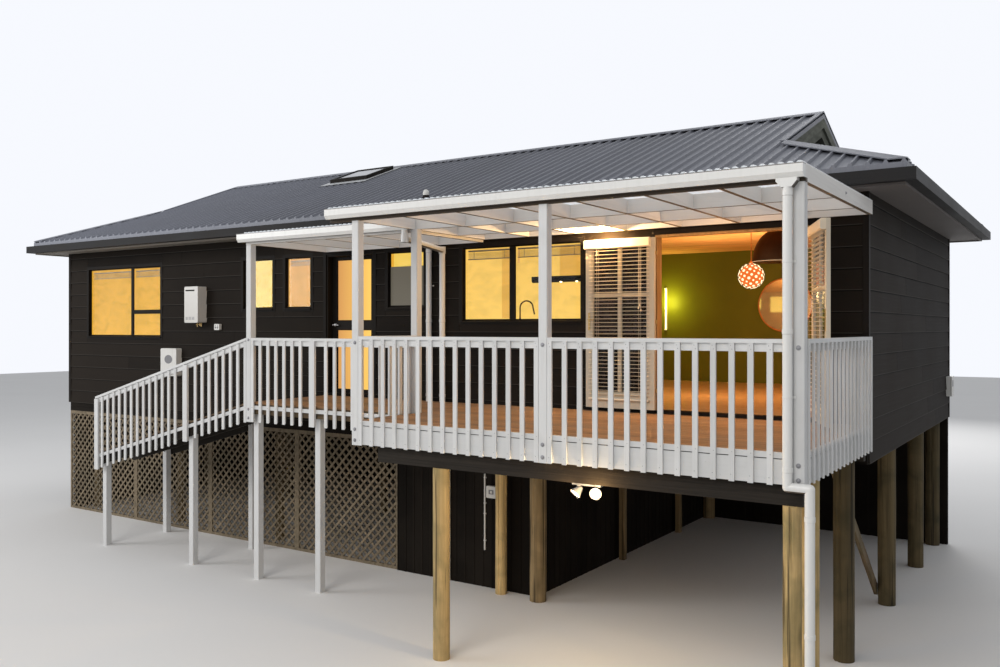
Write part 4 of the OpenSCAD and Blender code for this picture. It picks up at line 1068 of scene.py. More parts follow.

# %% [markdown]
# The balustrade is the most detailed part of the house. A flat cap rail sits on the posts. Upright
# battens hang outside a rail and a kick board, and their feet are cut to a slant so that water drips
# off. The kick is two boards with a slot between them, backed by a black strip as painted shade.
# Two screws hold each batten at each rail.
# All six lengths come from one function in its own measure, which is then seated where each stands.

# %% Balustrades
RAIL_TOP = house_box("front_balustrade_left")[1].z
RAIL = (0.090, 0.035)
BATTEN = (0.050, 0.020)
BATTEN_PITCH = 0.152
UNDER_RAIL = (0.035, 0.070)
KICK_DOWN = RAIL_TOP - DECK
SCREWS = ((0.35, RAIL[1] + 0.022), (0.6, RAIL[1] + 0.052), (0.6, KICK_DOWN + 0.021))
KICK_STRIP = 0.050
KICK_SLOT = 0.008
KICK_THICK = 0.030
SLANT = 0.014
POST = 0.096
POST_OUT = 0.015
POST_CLEAR = 0.02
SCREW_R = 0.0045
BATTEN_DOWN = RAIL_TOP - house_box("front_balustrade_left")[0].z
KICK = 0.262
LANDING_KICK = KICK_STRIP


def screw(shape, x, z, finish=1):
    """The head of a screw in the outer face of a batten."""
    shape.prism(circle(SCREW_R, 8, (x, z)), (-0.0006, 0.001), "y", finish)


def balustrade(shape, length, foot, kick, fall=0.0, posts=()):
    """Along +X from the origin, outside towards -Y, with the rail's top at z = 0 at its far end."""

    def line(x, below):
        return -fall * (length - x) - below

    def bar(y, top, bottom, finish=2):
        outline = [(0.0, line(0.0, top)), (length, line(length, top)),
                   (length, line(length, bottom)), (0.0, line(0.0, bottom))]
        shape.prism(outline, y, "y", finish)

    def upright(x, wide, front):
        tip, head = line(x, foot), line(x, RAIL[1])
        outline = [(front, tip), (BATTEN[1], tip + SLANT), (BATTEN[1], head), (front, head)]
        shape.prism(outline, (x, x + wide), "x")

    bar((0.0, RAIL[0]), 0.0, RAIL[1])
    bar((BATTEN[1], BATTEN[1] + UNDER_RAIL[0]), RAIL[1], RAIL[1] + UNDER_RAIL[1])
    kick_y = (BATTEN[1], BATTEN[1] + KICK_THICK)
    strip_foot = KICK_DOWN + KICK_STRIP
    bar(kick_y, KICK_DOWN, strip_foot)
    if kick > KICK_STRIP:
        bar(kick_y, strip_foot + KICK_SLOT, KICK_DOWN + kick)
        # A black strip at the back of the slot, as painted shade.
        bar((kick_y[0] + KICK_THICK / 2, kick_y[1]), strip_foot, strip_foot + KICK_SLOT, finish=3)
    low_screw = KICK_DOWN + max(kick - 0.05, KICK_STRIP / 2)
    count = math.floor((length - BATTEN[0]) / BATTEN_PITCH)
    step = (length - BATTEN[0]) / count
    for i in range(count + 1):
        x = i * step
        if any(p - POST_CLEAR < x + BATTEN[0] and x < p + POST + POST_CLEAR for p in posts):
            continue
        upright(x, BATTEN[0], 0.0)
        for share, down in (*SCREWS, (0.4, low_screw)):
            screw(shape, x + BATTEN[0] * share, line(x, down))
    for x in posts:
        upright(x, POST, -POST_OUT)


def seat(place, turn=0.0):
    """Puts a shape at a place in house measure, turned about the upright."""
    return Matrix.Translation(ORIGIN + Vector(place)) @ Matrix.Rotation(math.radians(turn), 4, "Z")


def stand(node, length, place, turn=0.0, foot=BATTEN_DOWN, kick=KICK, **more):
    """Makes one length of balustrade and seats it in place of its node."""
    rail = Shape()
    balustrade(rail, length, foot, kick, **more)
    rail.piece(node + "_battens", [white_upright, zinc, white_along, lining_black],
               slot="white_timber", hides=[node], bevel=0.0025, seat=seat(place, turn))


for node in ("front_balustrade_left", "front_balustrade_right"):
    low, high = house_box(node)
    stand(node, high.x - low.x, (low.x, low.y, RAIL_TOP))
low, high = house_box("right_balustrade")
stand("right_balustrade", high.y - low.y, (high.x, low.y, RAIL_TOP), 90.0)
low, high = house_box("deck_end_balustrade")
stand("deck_end_balustrade", high.y - low.y, (low.x, high.y, RAIL_TOP), -90.0)
low, high = house_box("landing_balustrade")
landing_posts = solids("landing_posts")
wide_post = landing_posts[-1][0].x - low.x
stand("landing_balustrade", high.x - low.x, (low.x, low.y + POST_OUT, high.z),
      foot=high.z - low.z, kick=LANDING_KICK, posts=[wide_post])
low, high = house_box("ramp_balustrade")
down = high.z - (high.x - low.x) * RAMP_FALL - low.z
stand("ramp_balustrade", high.x - low.x, (low.x, low.y + POST_OUT, high.z),
      foot=down, kick=LANDING_KICK, fall=RAMP_FALL, posts=[0.0, 2.2])

# %% [markdown]
# The square posts of the canopy are planed timber with small chamfers, bolted through the deck's
# beam. A washer and a domed nut show on each, near the foot and under the rail.

# %% Canopy posts


def bolt(shape, centre, facing, radius=0.013, finish=1):
    """A washer with a nut on it."""
    washer = [(radius * 1.6, 0.0), (radius * 1.6, 0.003), (radius * 1.2, 0.0035)]
    shape.turned(washer + [(0.0, 0.0035)], centre, facing, 16, finish)
    nut = [(radius, 0.003), (radius, 0.010), (radius * 0.75, 0.012), (0.0, 0.0125)]
    shape.turned(nut, centre, facing, 6, finish)


canopy_posts = Shape()
for low, high in solids("canopy_posts"):
    planed(canopy_posts, low, high)
    for z in (low.z + 0.055, low.z + 0.175, RAIL_TOP - 0.07):
        bolt(canopy_posts, ((low.x + high.x) / 2, low.y, z), (0, -1, 0))
short_posts = Shape()
for low, high in landing_posts:
    planed(short_posts, low, high, ease=0.005)
    bolt(short_posts, ((low.x + high.x) / 2, low.y, high.z - 0.10), (0, -1, 0))
for node, planks_up in (("canopy_posts", canopy_posts), ("landing_posts", short_posts)):
    planks_up.piece(node + "_planed", [white_upright, zinc], slot="white_timber", hides=[node])

# %% [markdown]
# Much of the frame already has its true shape in the structure: beams, joists, rafters, walls, the
# ribbed roof. Those nodes stay and only take a finish. A list of finishes with their nodes keeps the
# choice in one place, and every slot of the mesh is filled with it.

# %% Finishes on the structure
wearing = (
    (brace_brown, ["knee_brace"]),
    (beam_dark, ["deck_beam"]),
    (joist_brown, ["deck_joists", "floor_frame"]),
    (lining_black, ["carport_front_wall", "carport_side_wall", "rear_base_wall", "left_base_wall",
                    "front_wall_base", "front_wall_left", "front_wall_middle",
                    "front_wall_corner", "front_wall_heads", "right_wall", "left_wall",
                    "rear_wall"]),
    (white_canopy, ["canopy_frame", "entry_canopy_frame"]),
    (gutter_white, ["canopy_gutters", "downpipes"]),
    (floor_gold, ["floor"]),
    (wall_green, ["green_wall"]),
    (ceiling_pine, ["ceiling"]),
    (soffit_paint, ["soffit"]),
    (gutter_black, ["eaves_gutter"]),
    (roof_long, ["roof_front", "roof_rear"]),
    (roof_short, ["roof_ends"]),
    (barge_grey, ["gablets"]),
    (roof_trim, ["roof_caps"]),
    (frames_black, ["entry_door_frame"]),
    (frame_gold, ["french_frame"]),
)


def wear(node, finish):
    """Gives a node of the structure one finish all over."""
    mesh = nodes[node].data
    mesh.materials.clear()
    mesh.materials.append(finish.material)


for finish, names in wearing:
    for node in names:
        wear(node, finish)
    print(finish.material.name, "on", ", ".join(names))

# %% [markdown]
# Clear sheets cover the canopy. They are thin and see-through, but dust on them scatters light, so
# they look milky from below. Alpha does this better than refraction, which would darken a sheet this
# close to the rafters, and a faint glow stands for the daylight that the dust passes on.

# %% Clear sheets
clear_sheet = Finish("clear_sheet", ior=1.45, specular=0.4)
dusty = clear_sheet.noise(1.0, (8.0, 1.2, 1.0), detail=5.0)
clear_sheet.show(base_color=clear_sheet.mix((0.82, 0.86, 0.90), (0.68, 0.69, 0.68), dusty))
way = clear_sheet.node("ShaderNodeNewGeometry", {}, {}, "Normal")
below = clear_sheet.node("ShaderNodeSeparateXYZ", {}, {"Vector": way}, 2) < 0.0
clear_sheet.show(alpha=0.24 + 0.30 * dusty + 0.38 * below, roughness=0.2 + 0.3 * dusty)
daylight = clear_sheet.mix((0.84, 0.90, 1.0), (0.76, 0.77, 0.78), dusty)
clear_sheet.show(emission_color=clear_sheet.mix((0.0, 0.0, 0.0), daylight, below))
clear_sheet.show(emission_strength=0.5)
wear("canopy_sheets", clear_sheet)
print("clear sheets laid")

# %% [markdown]
# Each window is a black frame with a pane in it, and a warm room behind. A lit room is a panel that
# glows with the colour of its own walls. Lists say how the windows differ, from left to right: the
# finish of the panel, the finish of the reveal round it, which glows with painted light from the
# room, and the place and width of a mullion.

# %% Window panes and lit rooms
MIST_BAR = 4.355
SHADE_Y = (0.108, 0.111)
SASH = 0.008
PANE_IN = 2 * SASH - 0.004
REVEAL_THICK = 0.006
FRAME_DEEP = (0.0, 0.022)
REVEAL_DEEP = (0.022, 0.092)
MULLION_DEEP = (0.003, 0.034)
SASH_DEEP = (0.005, 0.024)
PANE_DEEP = (0.010, 0.014)
CROSS = (3.726, 3.800)
CROSS_DEEP = (0.004, 0.030)
FAR_LEFT, MISTED = 0, 6
room_finishes = [room_glow, kitchen_glow, bright_glow, hall_glow, kitchen_shade, bright_edge]
panels = (0, 0, 0, 2, 3, 0, 2, 1)
mullions = {0: (-12.660, 0.052), 1: (-12.300, 0.060), 5: (-7.200, 0.060), 7: (-4.430, 0.078)}
reveal_glows = (0, 0, 0, 2, 5, 0, 0, 1)
sashes = Shape()
panes = Shape()
rooms_lit = Shape()


def ring(shape, x, z, y, width, finish=0):
    """Four bars round a rectangle, flush with its outer edge."""
    shape.block((x[0], x[0] + width), y, z, finish)
    shape.block((x[1] - width, x[1]), y, z, finish)
    for foot in (z[0], z[1] - width):
        shape.block((x[0] + width, x[1] - width), y, (foot, foot + width), finish)


for number, (low, high) in enumerate(windows):
    inward = 1 if low.y < 1.0 else -1
    face, inner = (low.y, high.y) if inward > 0 else (high.y, low.y)

    def deep(near, far):
        return sorted((face + inward * near, face + inward * far))

    x, z = (low.x, high.x), (low.z, high.z)
    ring(sashes, x, z, deep(*FRAME_DEEP), SASH)
    # The reveal glows with painted light from the room.
    ring(rooms_lit, x, z, deep(*REVEAL_DEEP), REVEAL_THICK, reveal_glows[number])
    bays = [inset(x, SASH)]
    if number in mullions:
        middle, width = mullions[number]
        bays = [(bays[0][0], middle - width / 2), (middle + width / 2, bays[0][1])]
        sashes.block((bays[0][1], bays[1][0]), deep(*MULLION_DEEP), inset(z, SASH))
    for bay in bays:
        ring(sashes, bay, inset(z, SASH), deep(*SASH_DEEP), SASH)
    if number == FAR_LEFT:
        sashes.block(inset(bays[1], SASH), deep(*CROSS_DEEP), CROSS)
        ring(sashes, bays[1], (CROSS[0] + 0.030, high.z - SASH), deep(0.002, 0.006), 0.016)
    pane_x, pane_z = inset(x, PANE_IN), inset(z, PANE_IN)
    levels = [pane_z[0], MIST_BAR, pane_z[1]] if number == MISTED else pane_z
    for foot, head in zip(levels, levels[1:]):
        panes.block(pane_x, deep(*PANE_DEEP), (foot, head), finish=int(head == MIST_BAR))
    y = sorted((inner + inward * 0.002, inner + inward * 0.008))
    rooms_lit.block(x, y, z, finish=panels[number])
sashes.piece("window_sashes", frames_black, slot="window_frame", hides=["window_frames"],
             bevel=0.0015)
panes.piece("window_panes", [pane_clear, misted_pane_glow], slot="window_glass",
            hides=["window_glass"])

# Two dimmer glows are painted shade in the lit kitchen, and a thin strip glows as painted light on a
# copper edge.
for x, y, foot, finish in (((-4.650, -4.440), SHADE_Y, 3.603, 4),
                           ((-3.760, -3.420), SHADE_Y, 4.140, 4),
                           ((-4.392, -4.362), (0.096, 0.104), 4.330, 5)):
    rooms_lit.block(x, y, (foot, 4.532), finish)
rooms_lit.piece("lit_rooms", room_finishes, slot="window_glass")

# %% [markdown]
# A raised blind is a stack of thin slats under its head rail. Each slat is moved a little by smooth
# noise, so the stack looks folded by hand, and two cords run down over it.

# %% Raised blinds
FOLD = 0.0075
BLIND_Y = 0.087
front_blinds = (((-13.925, -12.704), (4.395, 4.515)), ((-12.616, -11.828), (4.395, 4.515)),
                ((-5.180, -4.486), (4.400, 4.530)), ((-4.374, -3.426), (4.400, 4.530)),
                ((-8.618, -8.136), (4.450, 4.530)))
rear_blinds = (((-13.17, -12.35), (4.42, 4.555)), ((-12.25, -11.43), (4.42, 4.555)),
               ((-9.87, -9.23), (4.46, 4.555)), ((-7.77, -7.25), (4.43, 4.555)),
               ((-7.15, -6.63), (4.43, 4.555)))


def folded_blind(shape, x, z, y, finish=0):
    """The stack of slats of a raised blind, with its head rail, bottom rail and cords."""
    shape.block(x, (y - 0.014, y + 0.014), (z[1] - 0.022, z[1]), finish)
    shape.block(x, (y - 0.013, y + 0.013), (z[0], z[0] + 0.012), finish)
    count = int((z[1] - z[0] - 0.040) / FOLD)
    for i in range(count):
        foot = z[0] + 0.016 + i * FOLD
        lean = 0.003 * noise.noise(Vector((i * 0.7, x[0], 2.0)))
        outline = [(y - 0.012 + lean, foot), (y + 0.012 + lean, foot + 0.002),
                   (y + 0.012 + lean, foot + 0.0045), (y - 0.012 + lean, foot + 0.0025)]
        shape.prism(outline, (x[0] + 0.004, x[1] - 0.004), "x", finish)
    for side in (x[0] + 0.10, x[1] - 0.10):
        shape.block((side - 0.004, side + 0.004), (y - 0.0155, y - 0.0135), (z[0], z[1]), finish)


raised = Shape()
for y, blinds in ((BLIND_Y, front_blinds), (DEPTH - BLIND_Y, rear_blinds)):
    for x, z in blinds:
        folded_blind(raised, x, z, y)
raised.piece("raised_blinds", slats_grey, slot="cream_paint")

# %% [markdown]
# In the kitchen stand the hood over the stove, with two small lights in it, and the tap. The tap is
# a tube along an arch. All of it shows as dark outlines before the glow.

# %% Kitchen outlines
TAP_X, TAP_Y = -4.352, 0.092
ARCH_X, ARCH_Z = -4.252, 3.738
counter = Shape()
hood = [(0.075, 4.080), (0.100, 4.060), (0.106, 4.060), (0.106, 4.140), (0.075, 4.140)]
counter.prism(hood, (-4.165, -3.424), "x")
for x in (-3.73, -3.50):
    counter.turned([(0.016, 0.0), (0.014, 0.006), (0.0, 0.007)], (x, 0.088, 4.066), (0, -0.3, -1),
                   16, finish=1)
arch = [(TAP_X, TAP_Y, z) for z in (3.600, 3.680, 3.735)]
for k in range(13):
    turn = math.pi - math.pi * k / 12
    arch.append((ARCH_X + 0.100 * math.cos(turn), TAP_Y, ARCH_Z + 0.090 * math.sin(turn)))
arch += [(-4.140, TAP_Y, 3.690), (-4.130, TAP_Y, 3.650)]
counter.tube(arch, 0.0095, 12, finish=2)
counter.turned([(0.020, 0.0), (0.020, 0.006), (0.013, 0.010), (0.013, 0.030)],
               (TAP_X, TAP_Y, 3.578), (0, 0, 1), 16, finish=2)
counter.piece("kitchen_outlines", [frames_black, bulb_glow, dome_grey], slot="window_glass",
              bevel=0.001)

# %% [markdown]
# A glazed door leaf is stiles and rails round small panes. It is made once, closed and along +X from
# its hinge, and then seated at each hinge by a matrix, as a joiner hangs like leaves in two places.
# The joints of the structure then swing it, because the piece rides on that leaf's body.

# %% Glazed leaves
LEAF_GAP = 0.005
LEAF_Y = (0.014, 0.054)
LEAF_Z = (2.495, 4.550)
STILE = 0.095
GLAZING_BAR = 0.030
KNUCKLES = (0.1, 0.5, 0.9)
KNUCKLE_TALL = 0.045
PANE_HALF = 0.003
BEAD = 0.010
HINGE_OUT = 0.009
JAMB = 0.025


def leaf(shape, width, columns, rows_up):
    """A leaf from its hinge at the origin: timber 0, glass 1, metal 2."""
    left, right = LEAF_GAP, LEAF_GAP + width
    levels = [LEAF_Z[0]] + [LEAF_Z[0] + z for pair in rows_up for z in pair] + [LEAF_Z[1]]
    shape.block((left, left + STILE), LEAF_Y, LEAF_Z)
    shape.block((right - STILE, right), LEAF_Y, LEAF_Z)
    for a, b in zip(levels[0::2], levels[1::2]):
        shape.block((left + STILE, right - STILE), LEAF_Y, (a, b))
    pane = (right - left - 2 * STILE - (columns - 1) * GLAZING_BAR) / columns
    middle = (LEAF_Y[0] + LEAF_Y[1]) / 2
    for a, b in zip(levels[1::2], levels[2::2]):
        for i in range(columns):
            start = left + STILE + i * (pane + GLAZING_BAR)
            if i:
                deep = (LEAF_Y[0] + 0.004, LEAF_Y[1] - 0.004)
                shape.block((start - GLAZING_BAR, start), deep, (a, b))
            end = start + pane
            shape.block((start, end), (middle - PANE_HALF, middle + PANE_HALF), (a, b), finish=1)
            for side, y in ((-1, LEAF_Y[0]), (1, LEAF_Y[1])):
                deep = sorted((middle + side * PANE_HALF, y - side * 0.006))
                shape.block((start, start + BEAD), deep, (a, b))
                shape.block((end - BEAD, end), deep, (a, b))
                shape.block((start + BEAD, end - BEAD), deep, (a, a + BEAD))
                shape.block((start + BEAD, end - BEAD), deep, (b - BEAD, b))


def hinge_knuckles(shape, finish=2):
    """Barrels of the hinges on the joint's axis, with the flap that reaches the leaf."""
    for share in KNUCKLES:
        foot = LEAF_Z[0] + share * (LEAF_Z[1] - LEAF_Z[0])
        z = (foot, foot + KNUCKLE_TALL)
        shape.prism(circle(0.007, 16), z, "z", finish)
        shape.block((0.0035, LEAF_GAP), (0.0, 0.036), z, finish)


print("leaf and hinges ready")

# %% [markdown]
# The two leaves to the deck carry a blind each: a head box with eased edges, arched slats, two pairs
# of thin cords, and pull cords with tassels. A latch with a lever stands on the inner face.

# %% Leaves to the deck
BLIND_PITCH = 0.046
BLIND_HALF = 0.019
BLIND_TILT = math.radians(7.0)
BLIND_ARCH = 0.003
BLIND_THICK = 0.0016
FRENCH_WIDTH = 0.918
HEAD_BOX = (0.110, 0.060)
HEAD_EASE = 0.012
LATCH_Z = 3.575
TASSEL = [(0.002, 0.0), (0.006, 0.004), (0.008, 0.030), (0.0, 0.032)]


def blind(shape, width, z_low, z_high, y, finish=3):
    """Slats of a blind hung on the inner face of a leaf, with its cords and bottom rail."""
    left, right = LEAF_GAP + STILE * 0.62, LEAF_GAP + width - STILE * 0.62
    along, up = BLIND_HALF * math.cos(BLIND_TILT), BLIND_HALF * math.sin(BLIND_TILT)
    for i in range(int((z_high - z_low) / BLIND_PITCH)):
        z = z_high - (i + 0.6) * BLIND_PITCH
        top = [(y - along, z - up), (y, z + BLIND_ARCH), (y + along, z + up)]
        outline = [(u, v - BLIND_THICK) for u, v in top] + top[::-1]
        shape.prism(outline, (left, right), "x", finish)
    for x in (left + 0.12, right - 0.12):
        for cord in (y - 0.024, y + 0.024):
            shape.block((x - 0.0012, x + 0.0012), (cord - 0.0008, cord + 0.0008), (z_low, z_high),
                        finish)
    shape.block((left, right), (y - 0.014, y + 0.014), (z_low - 0.018, z_low), finish)


def blind_head(shape, y, z, finish=3):
    """The box over a blind, with its outer edges eased."""
    outline = [(y[0], z[0]), (y[1] - HEAD_EASE, z[0]), (y[1], z[0] + HEAD_EASE),
               (y[1], z[1] - HEAD_EASE), (y[1] - HEAD_EASE, z[1]), (y[0], z[1])]
    shape.prism(outline, (LEAF_GAP + STILE / 2, LEAF_GAP + FRENCH_WIDTH), "x", finish)


def pull_cords(shape, y, z, finish=3):
    """Cords that hang from a blind's head, each with a tassel."""
    for x, end in ((0.150, 3.70), (0.166, 3.76), (0.182, 3.73)):
        shape.tube([(x, y + 0.004, z + 0.004), (x, y + 0.006, end)], 0.0016, 6, finish)
        shape.turned(TASSEL, (x, y + 0.006, end), (0, 0, -1), 10, finish)


def latch(shape, face, finish=2):
    """A plate and a lever on the inner face of a leaf's free stile."""
    x = LEAF_GAP + FRENCH_WIDTH - STILE / 2
    shape.block((x - 0.014, x + 0.014), (face, face + 0.006), (3.44, 3.66), finish)
    lever = [(x, face + 0.004, LATCH_Z), (x, face + 0.040, LATCH_Z),
             (x - 0.085, face + 0.042, LATCH_Z - 0.005)]
    shape.tube(lever, [0.008, 0.008, 0.006], 10, finish)


french_pane = (LEAF_Z[1] - LEAF_Z[0] - 3 * STILE - 2 * GLAZING_BAR) / 3
feet = [2 * STILE + i * (french_pane + GLAZING_BAR) for i in range(3)]
left_hinge = Vector((french_low.x + JAMB, -HINGE_OUT, 0.0))
right_hinge = Vector((french_high.x - JAMB, -HINGE_OUT, 0.0))
hangings = {
    "french_left": seat(left_hinge, -180.0),
    "french_right": seat(right_hinge, 113.0) @ Matrix.Scale(-1.0, 4, Vector((1, 0, 0))),
}
for name, place in hangings.items():
    door = Shape()
    leaf(door, FRENCH_WIDTH, 2, [(foot, foot + french_pane) for foot in feet])
    hinge_knuckles(door)
    face = LEAF_Y[1]
    z = (LEAF_Z[1] - HEAD_BOX[0], LEAF_Z[1])
    blind_head(door, (face, face + HEAD_BOX[1]), z)
    blind(door, FRENCH_WIDTH, LEAF_Z[0] + 0.12, z[0], face + HEAD_BOX[1] / 2)
    pull_cords(door, face + HEAD_BOX[1], z[0])
    latch(door, face)
    door.piece(name + "_leaf", [door_cream, pane_clear, brass, slats_cream], body=name,
               slot="cream_paint", hides=[name], bevel=0.002, seat=place)

# %% [markdown]
# The entry door is a leaf of the same make with two tall panes, one over the other. A lever on a
# rose stands at each face.

# %% Entry door
ENTRY_WIDTH = 0.880
ENTRY_TALL = 2.055
entry_hinge = Vector((entry_high.x - JAMB, WALL + HINGE_OUT, 0.0))
door = Shape()
entry_rail = 0.952
leaf(door, ENTRY_WIDTH, 1, [(STILE / 2, entry_rail), (entry_rail + 0.134, ENTRY_TALL - STILE / 2)])
hinge_knuckles(door)
handle_x = LEAF_GAP + ENTRY_WIDTH - STILE / 2
LEVER_Z = LEAF_Z[0] + 1.023
rose = [(0.026, 0.0), (0.026, 0.006), (0.022, 0.009), (0.010, 0.010), (0.010, 0.030), (0.0, 0.031)]
for side, y in ((-1, LEAF_Y[0]), (1, LEAF_Y[1])):
    door.turned(rose, (handle_x, y, LEVER_Z), (0, side, 0), 24, finish=2)
    out = y + side * 0.034
    door.tube([(handle_x + 0.010, out, LEVER_Z), (handle_x - 0.020, out, LEVER_Z),
               (handle_x - 0.110, out, LEVER_Z - 0.004)], [0.010, 0.010, 0.008], 12, finish=2)
door.piece("entry_door_leaf", [frames_black, door_glow, bright_steel], body="entry_door",
           slot="window_frame", hides=["entry_door"], bevel=0.002, seat=seat(entry_hinge, 180.0))

# %% [markdown]
# Indoors the walls are lined. Pale boards with a fine joint cover the inner faces, which throws the
# warm light back and forth, and gives the round mirror something to show. The lining is cut round
# the windows and doors by the same function as the weatherboards.

# %% Inner lining
LINING = 0.008
LINING_BOARD = 0.180
LINING_GAP = 0.003
CEILING = house_box("ceiling")[0].z
GREEN_WALL = house_box("green_wall")[0].x
lining = Shape()


def line_wall(axis, face, out, span, openings=()):
    """Level boards on the inner face of a wall, with an open joint between them."""
    deep = sorted((face, face + out * LINING))
    for start, end, down, up, _ in rows(span, FLOOR, CEILING, LINING_BOARD, openings, LINING_GAP):
        x, y = ((start, end), deep) if axis == "x" else (deep, (start, end))
        lining.block(x, y, (down, up))


inner_doors = [hole((entry_low, entry_high), 0.0), hole((french_low, french_high), 0.0)]
across = (-LENGTH + WALL + LINING, -WALL - LINING)
line_wall("x", WALL, 1, across, [hole(box, 0.0) for box in front_windows] + inner_doors)
line_wall("x", DEPTH - WALL, -1, (across[0], GREEN_WALL), [hole(box, 0.0) for box in rear_windows])
line_wall("y", -WALL, -1, (WALL, DEPTH - WALL - 0.02))
line_wall("y", -LENGTH + WALL, 1, (WALL, DEPTH - WALL))
lining.piece("inner_lining", inner_white, slot="floor_timber", bevel=0.001)

# %% [markdown]
# Three lamps light the living room. The ball is a shell of petals round a glowing core, laid out on
# a spiral so that they spread evenly. The dome is turned on the lathe with a dark outside and a pale
# inside that glows with painted light, and the strip on the green wall is a tube in a slim channel
# whose painted glow stands for the tube's light on it.

# %% Lamps of the living room
UP = (0, 0, 1)
PETALS = 96
PETAL_DEEP = 0.0085
CORE = 0.88
INSIDE = 0.975
DOME_TALL = 0.400
ROD_TOP = CEILING - 0.03
CEILING_ROSE = [(0.045, 0.0), (0.045, -0.012), (0.030, -0.026), (0.0, -0.028)]


def ball_lamp(shape, low, high):
    """A shell of petals round a glowing core, on a rod with a cup."""
    radius = (high.x - low.x) / 2
    centre = centre_of((low, high))
    centre.z = low.z + radius
    core = []
    for i in range(17):
        turn = math.pi * i / 16
        core.append((max(0.0, CORE * radius * math.sin(turn)), -CORE * radius * math.cos(turn)))
    shape.turned(core, centre, UP, 32, finish=1)
    for i in range(PETALS):
        height = 1 - 2 * (i + 0.5) / PETALS
        turn = i * math.pi * (3 - math.sqrt(5))
        flat = math.sqrt(1 - height * height)
        way = Vector((flat * math.cos(turn), flat * math.sin(turn), height))
        wide = 0.0185 + 0.004 * math.sin(5 * i)
        petal = [(0.0, 0.0), (wide - 0.002, 0.001), (wide, 0.004), (0.0, 0.007)]
        shape.turned(petal, centre + way * (radius - PETAL_DEEP), way, 5, finish=0)
    x, y = centre.x, centre.y
    shape.tube([(x, y, centre.z + CORE * radius), (x, y, ROD_TOP)], 0.005, 10, finish=2)
    cup = [(0.028, 0.0), (0.034, 0.004), (0.034, 0.020), (0.012, 0.034), (0.006, 0.060)]
    shape.turned(cup, (x, y, centre.z + radius - 0.020), UP, 20, finish=2)
    shape.turned(CEILING_ROSE, (x, y, CEILING - 0.001), UP, 20, finish=2)


def dome_lamp(shape, low, high):
    """A dome, dark outside and pale inside, with a bulb in it; the inside glows with painted light.
    """
    radius = (high.x - low.x) / 2
    centre = centre_of((low, high))
    centre.z = low.z
    turns = [math.pi / 2 * i / 16 for i in range(15)]
    skin = [(radius * math.cos(turn), DOME_TALL * math.sin(turn)) for turn in turns]
    shape.turned(skin + [(0.050, DOME_TALL), (0.0, DOME_TALL)], centre, UP, 48, finish=3)
    inner_skin = [(INSIDE * r, INSIDE * h + 0.001) for r, h in skin]
    shape.turned([(0.0, INSIDE * DOME_TALL)] + inner_skin[::-1], centre, UP, 48, finish=4)
    rim = [(radius, 0.001), (radius, 0.006), (0.968 * radius, 0.006), (0.968 * radius, 0.001),
           (radius, 0.001)]
    shape.turned(rim, centre, UP, 48, finish=4)
    top = centre + Vector((0, 0, DOME_TALL))
    collar = [(0.050, 0.0), (0.050, 0.030), (0.020, 0.045), (0.007, 0.060)]
    shape.turned(collar, top, UP, 24, finish=3)
    x, y = centre.x, centre.y
    shape.tube([centre + Vector((0, 0, DOME_TALL + 0.05)), (x, y, ROD_TOP)], 0.006, 10, finish=3)
    shape.turned(CEILING_ROSE, (x, y, CEILING - 0.001), UP, 20, finish=3)
    bulb = [(0.0, -0.055), (0.030, -0.045), (0.045, -0.015), (0.040, 0.020), (0.020, 0.060),
            (0.018, 0.090), (0.0, 0.092)]
    shape.turned(bulb, centre + Vector((0, 0, 0.20)), UP, 24, finish=5)


def strip_lamp(shape, low, high):
    """A glowing tube in a slim channel, thinner in its lower half; the channel and its clips glow
    with painted light.
    """
    middle = (low.x + high.x) / 2
    channel = (high.y - 0.012, high.y - 0.001)
    shape.block((low.x + 0.012, high.x - 0.012), channel, (low.z, high.z), 4)
    split = low.z + 0.52 * (high.z - low.z)
    for out, foot, head, radius, sides in ((0.018, split, high.z - 0.02, 0.010, 16),
                                           (0.020, low.z + 0.02, split, 0.005, 10)):
        shape.tube([(middle, low.y + out, foot), (middle, low.y + out, head)], radius, sides, 6)
    for z in (low.z + 0.001, split - 0.012, high.z - 0.021):
        shape.block((middle - 0.019, middle + 0.019), (low.y, high.y - 0.004), (z, z + 0.020), 4)


strip_box, ball_box, dome_box = solids("indoor_lights")
indoor = Shape()
ball_lamp(indoor, *ball_box)
dome_lamp(indoor, *dome_box)
strip_lamp(indoor, *strip_box)
indoor.piece("living_room_lamps",
             [petal_glow, core_glow, copper, dome_grey, lamp_shade_glow, bulb_glow, strip_glow],
             slot="copper", hides=["indoor_lights"], smooth=True)

# %% [markdown]
# A round mirror hangs on the green wall. Its copper ring is turned with a rounded edge, and the
# silvered glass lies a little back inside it.

# %% Mirror
FRONT = (0, -1, 0)
mirror_box = house_box("mirror")
mirror_r = (mirror_box[1].x - mirror_box[0].x) / 2
mirror_centre = centre_of(mirror_box)
mirror_centre.y = mirror_box[1].y - 0.0005
round_glass = Shape()
hoop = [(0.0, 0.0), (0.0, 0.020), (-0.004, 0.024), (-0.016, 0.024), (-0.020, 0.020), (-0.020, 0.0)]
round_glass.turned([(mirror_r + r, h) for r, h in hoop], mirror_centre, FRONT, 72)
plate = [(mirror_r - 0.018, 0.0), (mirror_r - 0.018, 0.013), (mirror_r - 0.030, 0.015),
         (0.0, 0.015)]
round_glass.turned(plate, mirror_centre, FRONT, 72, finish=1)
round_glass.piece("mirror_and_ring", [copper, mirror_silver], slot="copper", hides=["mirror"],
                  smooth=True)

# %% [markdown]
# Three lamps hang outdoors: a round bulkhead under the clear roof, and two spots on a plate below the
# deck's beam. Each is a turned body with a bright glass, and each has a small light source before it
# in the studio, so that the timber near it catches the warm light.

